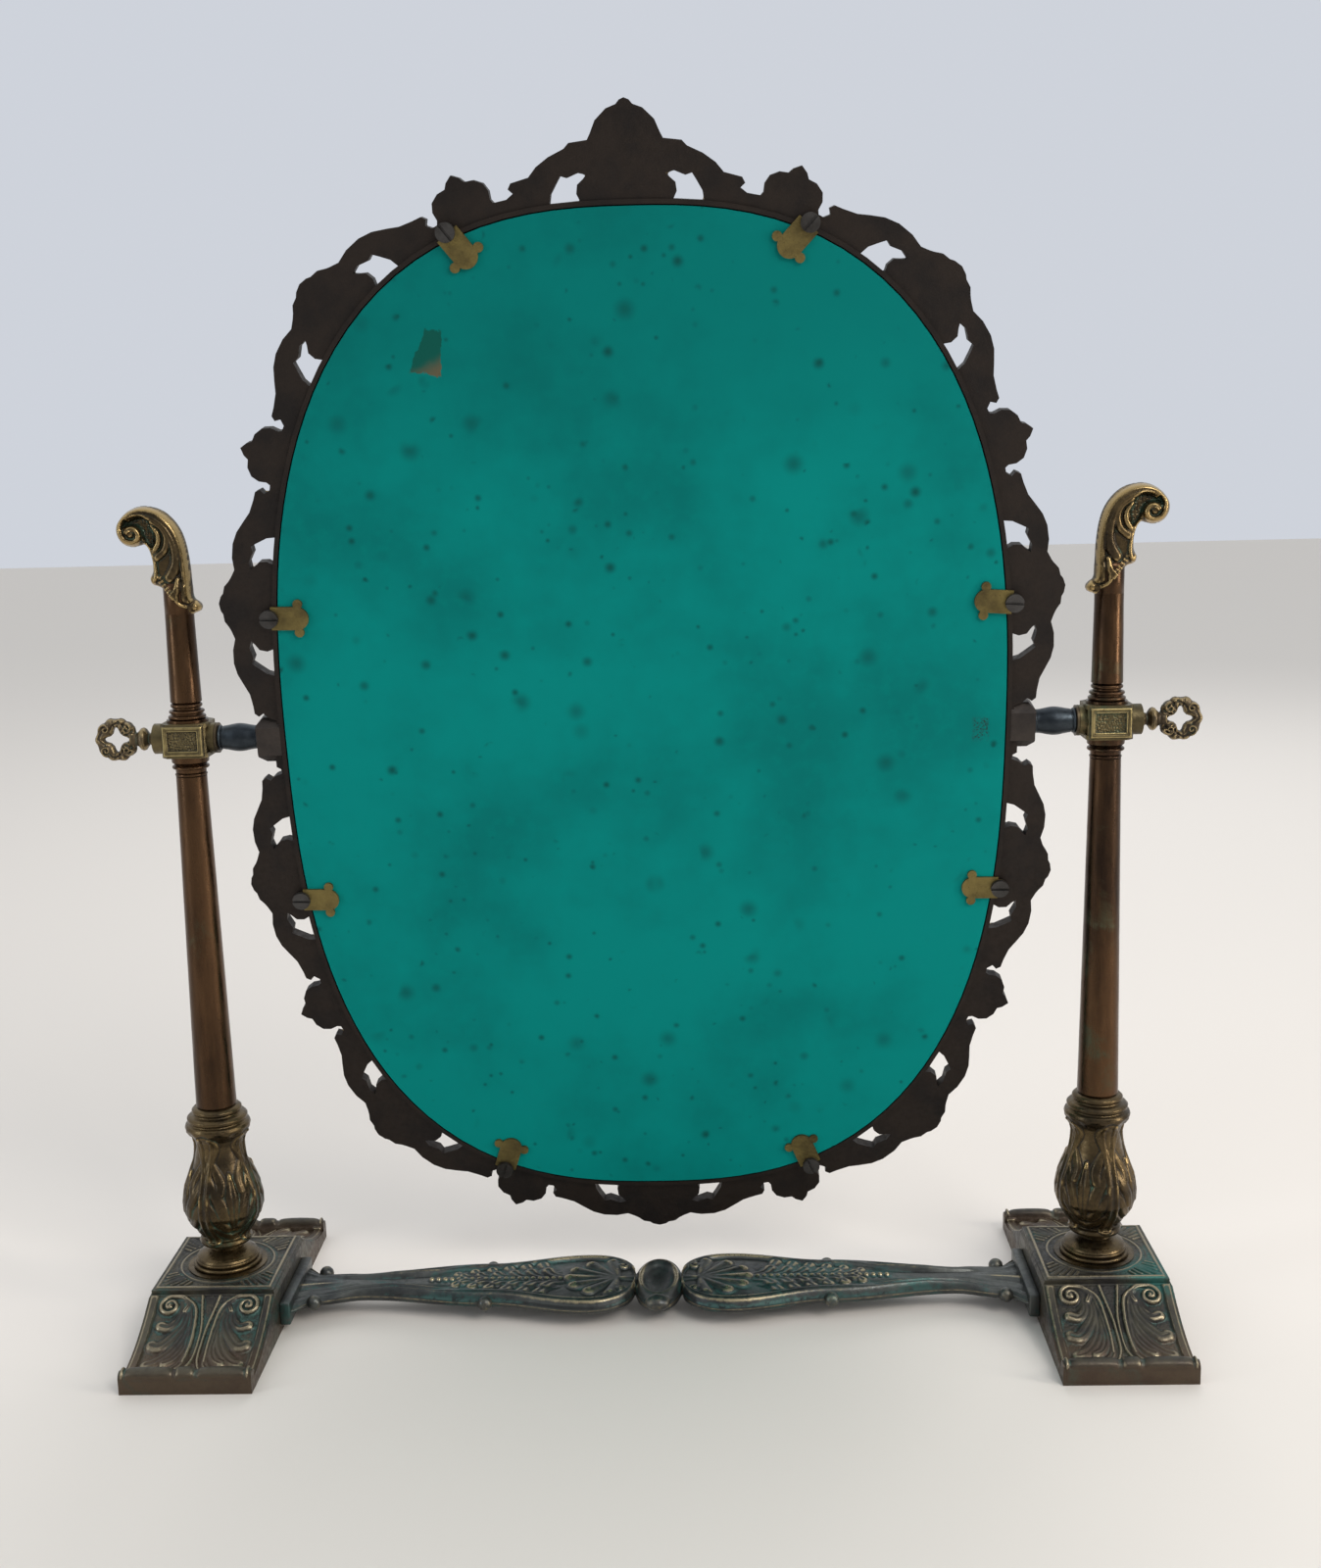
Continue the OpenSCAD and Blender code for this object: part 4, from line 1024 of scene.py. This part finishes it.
def finial(side_name):
    """Scroll that crowns a post: a curling leaf with a chased hollow, on a sleeve cut slantwise."""
    step = 0.34
    u, v = mesh_grid(-11.5, 27.5, -4.2, 50.2, step)
    inset = inside_distance(u, v, smooth_path(FINIAL_OUTLINE, 4, closed=True))
    deep = np.where(inset > 0, 4.6 * dome(1 - unit(inset / 4.4)), -0.8 + 0.8 * np.clip(inset, -1, 0))
    hollow = unit(inside_distance(u, v, smooth_path(FINIAL_HOLLOW, 5, closed=True)) / 1.2)
    deep -= hollow * (2.6 - pebbles(u, v, 1.0, 0.5, seed=12))
    carved = highest(np.zeros(u.shape), *(
        ridge(u, v, smooth_path(path), lambda t, a=first, b=last: a + (b - a) * t, height)
        for path, first, last, height in FINIAL_RIDGES))
    eye = bump(u, v, (18.2, 36.4), 1.9, 2.0)
    curl = (-8.1, 3.0)
    in_curl = np.hypot(u - curl[0], v - curl[1]) < 2.5
    # the sleeve that grips the tube, its slanting edge set with two rows of dots
    slant = SLANT_LOW + SLANT_RISE * unit((u + SLEEVE_R) / (2 * SLEEVE_R)) ** 1.5
    sleeve = np.sqrt(np.clip(7.1 ** 2 - u ** 2, 0, None)) - 0.9 - unit((v - 12) / 8) * 2.6
    deep = highest(deep, np.where(eye > 0, 4.2 + eye, NOTHING),
                   np.where(in_curl, bump(u, v, curl, 2.5, 3.6) + 1, NOTHING),
                   np.where((v > slant) & (v < 20), sleeve, NOTHING))
    deep = np.where(inset > 0, deep + carved * unit(inset / 1.2), deep)
    for t in np.linspace(0.45, 0.98, 7):
        for lift in (1.2, 3.3):
            dot = (-SLEEVE_R + 2 * SLEEVE_R * t, SLANT_LOW + SLANT_RISE * t ** 1.5 + lift)
            deep += bump(u, v, dot, 0.85, 0.9)
    deep = np.minimum(deep, 7.6)
    obj = post_casting(f"{side_name}_finial_scroll", side_name, u, v, step, deep, POST_X, FINIAL_Z)
    add_piece(obj, "stand", "cast_bronze", f"{side_name}_finial")


def tube_end(side_name):
    """End of the upper tube, which shows below the slanting edge of the finial's sleeve."""
    cx = SIDES[side_name] * POST_X
    a = np.linspace(0, 2 * np.pi, 65)[:-1]
    rings = [np.stack([cx + r * np.cos(a), r * np.sin(a), np.full(a.shape, FINIAL_Z + z)], -1)
             for r, z in ((6.35, -0.3), (6.5, -0.2), (6.5, 6), (6.5, 12), (6.3, 14))]
    obj = loft(f"{side_name}_tube_end", np.array(rings)[:, ::-1], np.zeros((len(rings), len(a))))
    add_piece(obj, "stand", "column_bronze")


# ---------------------------------------------------------------- thumb screws and pivot blocks
KNOB_X = cad("right_clamp_knob")[1][0] - 10.2
KNOB_NECK = [(-17.4, 3.9), (-16.2, 3.0), (-15.2, 2.6), (-14.4, 3.6), (-13.4, 5.0), (-12.4, 5.4), (-11.4, 5.0),
             (-10.4, 3.7), (-9.4, 3.0), (-8.4, 3.4), (-7, 3.4)]  # turned outline: place and radius


def knob(side_name):
    """Thumb screw: a pierced ring of leaves on a turned neck."""
    step = 0.27
    u, v = mesh_grid(-20, 11.8, -11.8, 11.8, step)
    r = np.hypot(u, v)
    a = np.arctan2(v, u)
    outer = 9.9 + 0.35 * np.cos(10 * a)
    inner = 4.1 + 1.25 * np.cos(4 * a) + 0.35 * np.cos(8 * a)
    mid, wide = (outer + inner) / 2, (outer - inner) / 2
    q = np.abs(r - mid) / wide
    groove = 0.75 * band(r - mid - 0.9 * np.sin(4 * a), 0.55)
    beads = 0.55 * np.cos(20 * a) * band(q - 0.45, 0.3) * (np.cos(a) < 0.2)
    ring = np.where(q < 1, 2.7 * dome(q, 2.2) - groove + beads, -0.8 * unit((q - 1) * wide))
    for start in (0, 90, 180, 270):
        centre = (7.0 * math.cos(math.radians(start + 45)), 7.0 * math.sin(math.radians(start + 45)))
        curl = ridge(u, v, spiral(centre, 2.6, 0.5, 1.2, start), 0.75, 1.0) * 3.4 - 0.3
        ring = np.maximum(ring, np.where(q < 1.15, curl, NOTHING))
    at, radii = np.array(KNOB_NECK).T
    turned = np.sqrt(np.clip(np.interp(u, at, radii) ** 2 - v ** 2, 0, None))
    neck = np.where((u > at[0]) & (u < -6.4), turned, 0)
    deep = np.maximum(ring, np.where(neck > 0, neck, NOTHING))
    obj = post_casting(f"{side_name}_thumb_ring", side_name, u, v, step, deep, KNOB_X, PIVOT_Z)
    add_piece(obj, f"{side_name}_thumb_screw", "knob_bronze", f"{side_name}_clamp_knob")


def block_panels(side_name):
    """Bordered, pebbled panels on the near and far faces of a pivot block."""
    half_x, half_z, border = 9.6, 7.3, 0.95
    half_y = cad(f"{side_name}_pivot_block")[1][1]
    x, z = mesh_grid(-half_x, half_x, -half_z, half_z, 0.3)
    ex, ez = np.abs(x), np.abs(z)
    margin = np.minimum(6.9 - ex, 4.6 - ez)
    h = np.where(margin > 0, pebbles(x * 0.72 + z * 0.2, z, 0.82, 0.5, seed=21) - 0.55, border)
    h = np.where((margin <= 0) & (margin > -0.8), border + margin * 0.6, h)
    rim = unit(np.minimum(half_x - ex, half_z - ez) / 0.8)
    h = h * rim - 0.3 * (1 - rim)
    for end in (-1, 1):
        base = np.stack([SIDES[side_name] * POST_X + x, np.full(x.shape, end * half_y), PIVOT_Z + z], -1)
        out = np.broadcast_to([0.0, end, 0], base.shape)
        obj = skin(f"{side_name}_block_panel_{end_name(end)}", base, out, h, 0.9, flip=end > 0)
        add_piece(obj, "stand", "block_bronze")


# ---------------------------------------------------------------- front of the mirror frame
OVAL_A, OVAL_B, OVAL_POWER = 163.0, 231.0, 2.6
BAYS = 20
FRONT_Y = -1.5
BEAD_PITCH, CORD_PITCH = 5.2, 3.1
SHELL_SCROLLS = [  # scrolls beside a shell: [along the rim, out from it] points, half-width and height
    ([(47, 9), (40, 13.5), (32, 15.5), (24, 16.5), (18, 14)], 2.0, 1.9),
    ([(49, 7), (44, 6), (40, 8), (41, 11), (44, 10.5)], 1.3, 2.2),
    ([(34, 12), (30, 9), (31, 4)], 1.4, 1.5),
]
BUD_LOBES = [([(0, 3), (0, 21)], 1.5), ([(1, 8), (4, 12), (6, 17)], 1.7), ([(2, 5), (6, 8), (9, 13)], 1.7)]


def oval_points(n):
    """Points of the plate's outline, a superellipse."""
    t = np.linspace(0, 2 * np.pi, n, endpoint=False)
    bent = [np.sign(f) * np.abs(f) ** (2 / OVAL_POWER) for f in (np.cos(t), np.sin(t))]
    return np.stack([OVAL_A * bent[0], OVAL_B * bent[1]], 1)


def to_oval(x, z):
    """Arc length along the plate's edge and height outside it of many points, and the edge's length."""
    rim = oval_points(2880)
    arc = np.concatenate([[0], np.cumsum(np.hypot(*np.diff(rim, axis=0).T))])
    perimeter = arc[-1] + np.hypot(*(rim[0] - rim[-1]))
    tree = KDTree(len(rim))
    for i, (px, pz) in enumerate(rim):
        tree.insert((px, pz, 0), i)
    tree.balance()
    found = [tree.find((px, pz, 0))[1:] for px, pz in zip(x, z)]
    index, dist = (np.array(column) for column in zip(*found))
    outside = np.abs(x / OVAL_A) ** OVAL_POWER + np.abs(z / OVAL_B) ** OVAL_POWER > 1
    return arc[index], np.where(outside, dist, -dist), perimeter


def front_mask(u, v, step):
    """Where the frame's front face is, in its own plane, taken from the CAD node."""
    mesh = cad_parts["mirror_frame"].data
    points = np.empty(len(mesh.vertices) * 3)
    mesh.vertices.foreach_get("co", points)
    local = (points.reshape(-1, 3) / MM - (0, 0, PIVOT_Z)) @ about_x(-REST_TILT).T
    facing = {}
    for face in mesh.polygons:
        corners = list(face.vertices)
        ys = local[corners, 1]
        if ys.min() < FRONT_Y or np.ptp(ys) > 0.01:
            continue
        for a, b in zip(corners, corners[1:] + corners[:1]):
            key = (min(a, b), max(a, b))
            facing[key] = facing.get(key, 0) + 1
    inside = np.zeros(u.shape, bool)
    for (a, b), count in facing.items():
        if count != 1:
            continue
        (x0, z0), (x1, z1) = local[a, [0, 2]], local[b, [0, 2]]
        if z0 == z1:
            continue
        low, high = sorted((z0, z1))
        j0, j1 = (int(math.ceil((z - v[0, 0]) / step)) for z in (low, high))
        for j in range(j0, j1):
            inside[:, j] ^= u[:, j] < x0 + (v[0, j] - z0) * (x1 - x0) / (z1 - z0)
    return inside


def bay_relief(s, h, perimeter):
    """Chasing on the frame's front: beaded rim, fluted shells with scrolls, and leaf buds."""
    bay = perimeter / BAYS
    k = np.round(s / bay).astype(int) % BAYS
    along_bay = (s - np.round(s / bay) * bay) * 65 / bay
    side = np.abs(along_bay)
    shell = k % 2 == 1
    crest = k == BAYS // 4
    reach = np.where(crest, 38.0, 25.0)
    # fan of flutes on each shell, inside a rolled edge
    ang = np.arctan2(side, np.maximum(h - 3, 0.1))
    far = np.hypot(side, h - 3)
    border = reach * (0.66 + 0.3 * np.cos(ang * 1.9))
    border = np.where(crest, border, np.minimum(border, 17 + 6 * np.cos(ang)))
    fan = unit((border - far) / 2)
    out = np.where(shell, fan * (1.1 + 0.9 * np.cos(ang * 12) * unit(far / 12)), 0)
    out = np.maximum(out, np.where(shell, 1.9 * band(far - border - 0.6, 1.1), 0))
    for path, half, height in SHELL_SCROLLS:
        out = np.maximum(out, np.where(shell, ridge(side, h, smooth_path(path), half, height, groove=0.2), 0))
    bud = ~shell & (k % (BAYS // 2) != 0)
    for path, half in BUD_LOBES:
        out = np.maximum(out, np.where(bud, ridge(side, h, smooth_path(path), half, 1.8, groove=0.25), 0))
    out = np.where(h > 7, out, 0.5 * out)
    # beads on the lip, a cord outside them
    place = s / perimeter
    phase = (place * round(perimeter / BEAD_PITCH)) % 1 - 0.5
    bead = np.sqrt(unit(1 - (phase * BEAD_PITCH / 2.3) ** 2 - (h / 2.2) ** 2))
    twist = np.cos(2 * np.pi * (place * round(perimeter / CORD_PITCH) + h / 3))
    cord = dome((h - 4.6) / 1.5) * (1 + 0.3 * twist)
    return highest(out, 1.3 * bead, 1.3 * cord)


def frame_front():
    """Chased front of the openwork frame, laid over the CAD frame's front face."""
    step = 1.02
    u, v = mesh_grid(-206, 206, -263, 274, step)
    inside = front_mask(u, v, step)
    soft = blur(inside.astype(float), 5)
    solid = inside & (soft > 0.42)
    raised = np.zeros(u.shape)
    raised[solid] = bay_relief(*to_oval(u[solid], v[solid] + FRAME_DROP))
    edge = unit((soft - 0.55) / 0.42)
    thick = np.where(solid, 0.9 * dome(1 - edge) + raised * edge, -step)

    def place(p):
        return (p + (0, FRONT_Y, 0)) @ about_x(REST_TILT).T + (0, 0, PIVOT_Z)
    obj = plate("mirror_frame_chasing", u, v, step, thick, place, 0.5, reach=8)
    add_piece(obj, "mirror", "frame_casting", look="frame_front")


stretcher_body()
stretcher_knobs()
frame_front()
for side in SIDES:
    for towards in (-1, 1):
        foot_slope(side, towards)
    for make in (foot_plate, baluster, finial, tube_end, knob, block_panels):
        make(side)
for width, plain_names in ((0.6, ("foot", "pivot_lug", "pivot_block")),
                           (0.25, ("column", "upper_tube", "upper_collar", "lower_collar", "base_disc"))):
    for plain_name in plain_names:
        for side in SIDES:
            soften(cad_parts[f"{side}_{plain_name}"], width)
for node_name, width in (("mirror_frame", 0.5), ("glass_clips", 0.3), ("clip_screws", 0.25)):
    soften(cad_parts[node_name], width)


# ---------------------------------------------------------------- stage, light and camera
def pale_floor():
    reach = 6.0
    mesh = bpy.data.meshes.new("floor")
    corners = [(-reach, -reach, 0), (reach, -reach, 0), (reach, reach, 0), (-reach, reach, 0)]
    mesh.from_pydata(corners, [], [(0, 1, 2, 3)])
    mesh.materials.append(Look("pale_floor").finish((0.66, 0.62, 0.58, 1), 0.75, 0.0))
    placed("floor", mesh)


def studio():
    """A plain pale backdrop, and a studio that is brighter above and darker behind the camera."""
    world = bpy.data.worlds.new("studio")
    bpy.context.scene.world = world
    world.use_nodes = True
    tree = world.node_tree
    tree.nodes.clear()

    def node(kind):
        return tree.nodes.new(kind)
    seen = node("ShaderNodeBackground")
    lit = node("ShaderNodeBackground")
    mix = node("ShaderNodeMixShader")
    seen.inputs["Color"].default_value = (0.62, 0.65, 0.71, 1)
    lit.inputs["Color"].default_value = (0.94, 0.97, 1.0, 1)
    direction = node("ShaderNodeSeparateXYZ")
    product = node("ShaderNodeMath")
    product.operation = "MULTIPLY"
    falls = (("Z", (-0.1, 0.9, 0.5, 1.25)), ("Y", (-0.9, 0.5, 0.45, 1.0)))
    for factor, (axis, numbers) in zip(product.inputs, falls):
        span = node("ShaderNodeMapRange")
        tree.links.new(direction.outputs[axis], span.inputs["Value"])
        for key, number in zip(("From Min", "From Max", "To Min", "To Max"), numbers):
            span.inputs[key].default_value = number
        tree.links.new(span.outputs[0], factor)
    for source, socket in ((node("ShaderNodeTexCoord").outputs["Generated"], direction.inputs[0]),
                           (product.outputs[0], lit.inputs["Strength"]),
                           (node("ShaderNodeLightPath").outputs["Is Camera Ray"], mix.inputs[0]),
                           (lit.outputs[0], mix.inputs[1]),
                           (seen.outputs[0], mix.inputs[2]),
                           (mix.outputs[0], node("ShaderNodeOutputWorld").inputs[0])):
        tree.links.new(source, socket)
    bpy.context.scene.view_settings.view_transform = "Standard"


def area_light(name, place, target, size, power, colour=(1, 1, 1), height=None, spread=180):
    """Rectangular lamp at place, turned to target; spread is the angle of its beam in degrees."""
    data = bpy.data.lights.new(name, "AREA")
    data.shape = "RECTANGLE"
    data.size = size
    data.size_y = height or size
    data.energy = power
    data.color = colour
    data.spread = math.radians(spread)
    obj = placed(name, data)
    obj.location = place
    away = (obj.location - Vector(target)).normalized()
    obj.rotation_mode = "QUATERNION"
    obj.rotation_quaternion = away.to_track_quat("Z", "Y")
    return obj


def camera():
    """Camera in front of the mirror's back, a little above it, looking slightly down."""
    yaw, pitch, roll = (math.radians(a) for a in (-1.59, 10.88, 1.41))
    forward = np.array([math.sin(yaw) * math.cos(pitch), math.cos(yaw) * math.cos(pitch), -math.sin(pitch)])
    level = np.array([math.cos(yaw), -math.sin(yaw), 0])
    down = np.cross(forward, level)
    right = math.cos(roll) * level + math.sin(roll) * down
    below = -math.sin(roll) * level + math.cos(roll) * down
    data = bpy.data.cameras.new("camera")
    data.sensor_fit = "HORIZONTAL"
    data.sensor_width = 36.0
    data.lens = 48.26
    obj = placed("camera", data)
    turn = Matrix([[right[i], -below[i], -forward[i]] for i in range(3)]).to_4x4()
    obj.matrix_world = Matrix.Translation((0.029, -0.800, 0.412)) @ turn
    bpy.context.scene.camera = obj


pale_floor()
studio()
area_light("key", (1.0, -1.2, 1.5), (0, 0, 0.25), 0.8, 16, (1.0, 0.97, 0.93))
area_light("right_strip", (1.5, -0.55, 0.62), (0.2, 0, 0.3), 0.25, 5.8, (1.0, 0.93, 0.84), 1.1, 130)
area_light("left_strip", (-1.5, -0.75, 0.62), (-0.2, 0, 0.3), 0.3, 2.9, (0.86, 0.93, 1.0), 1.1, 130)
back = area_light("back", (0.4, 1.5, 1.4), (0, 0, 0.25), 1.2, 10)
back.visible_glossy = False
camera()
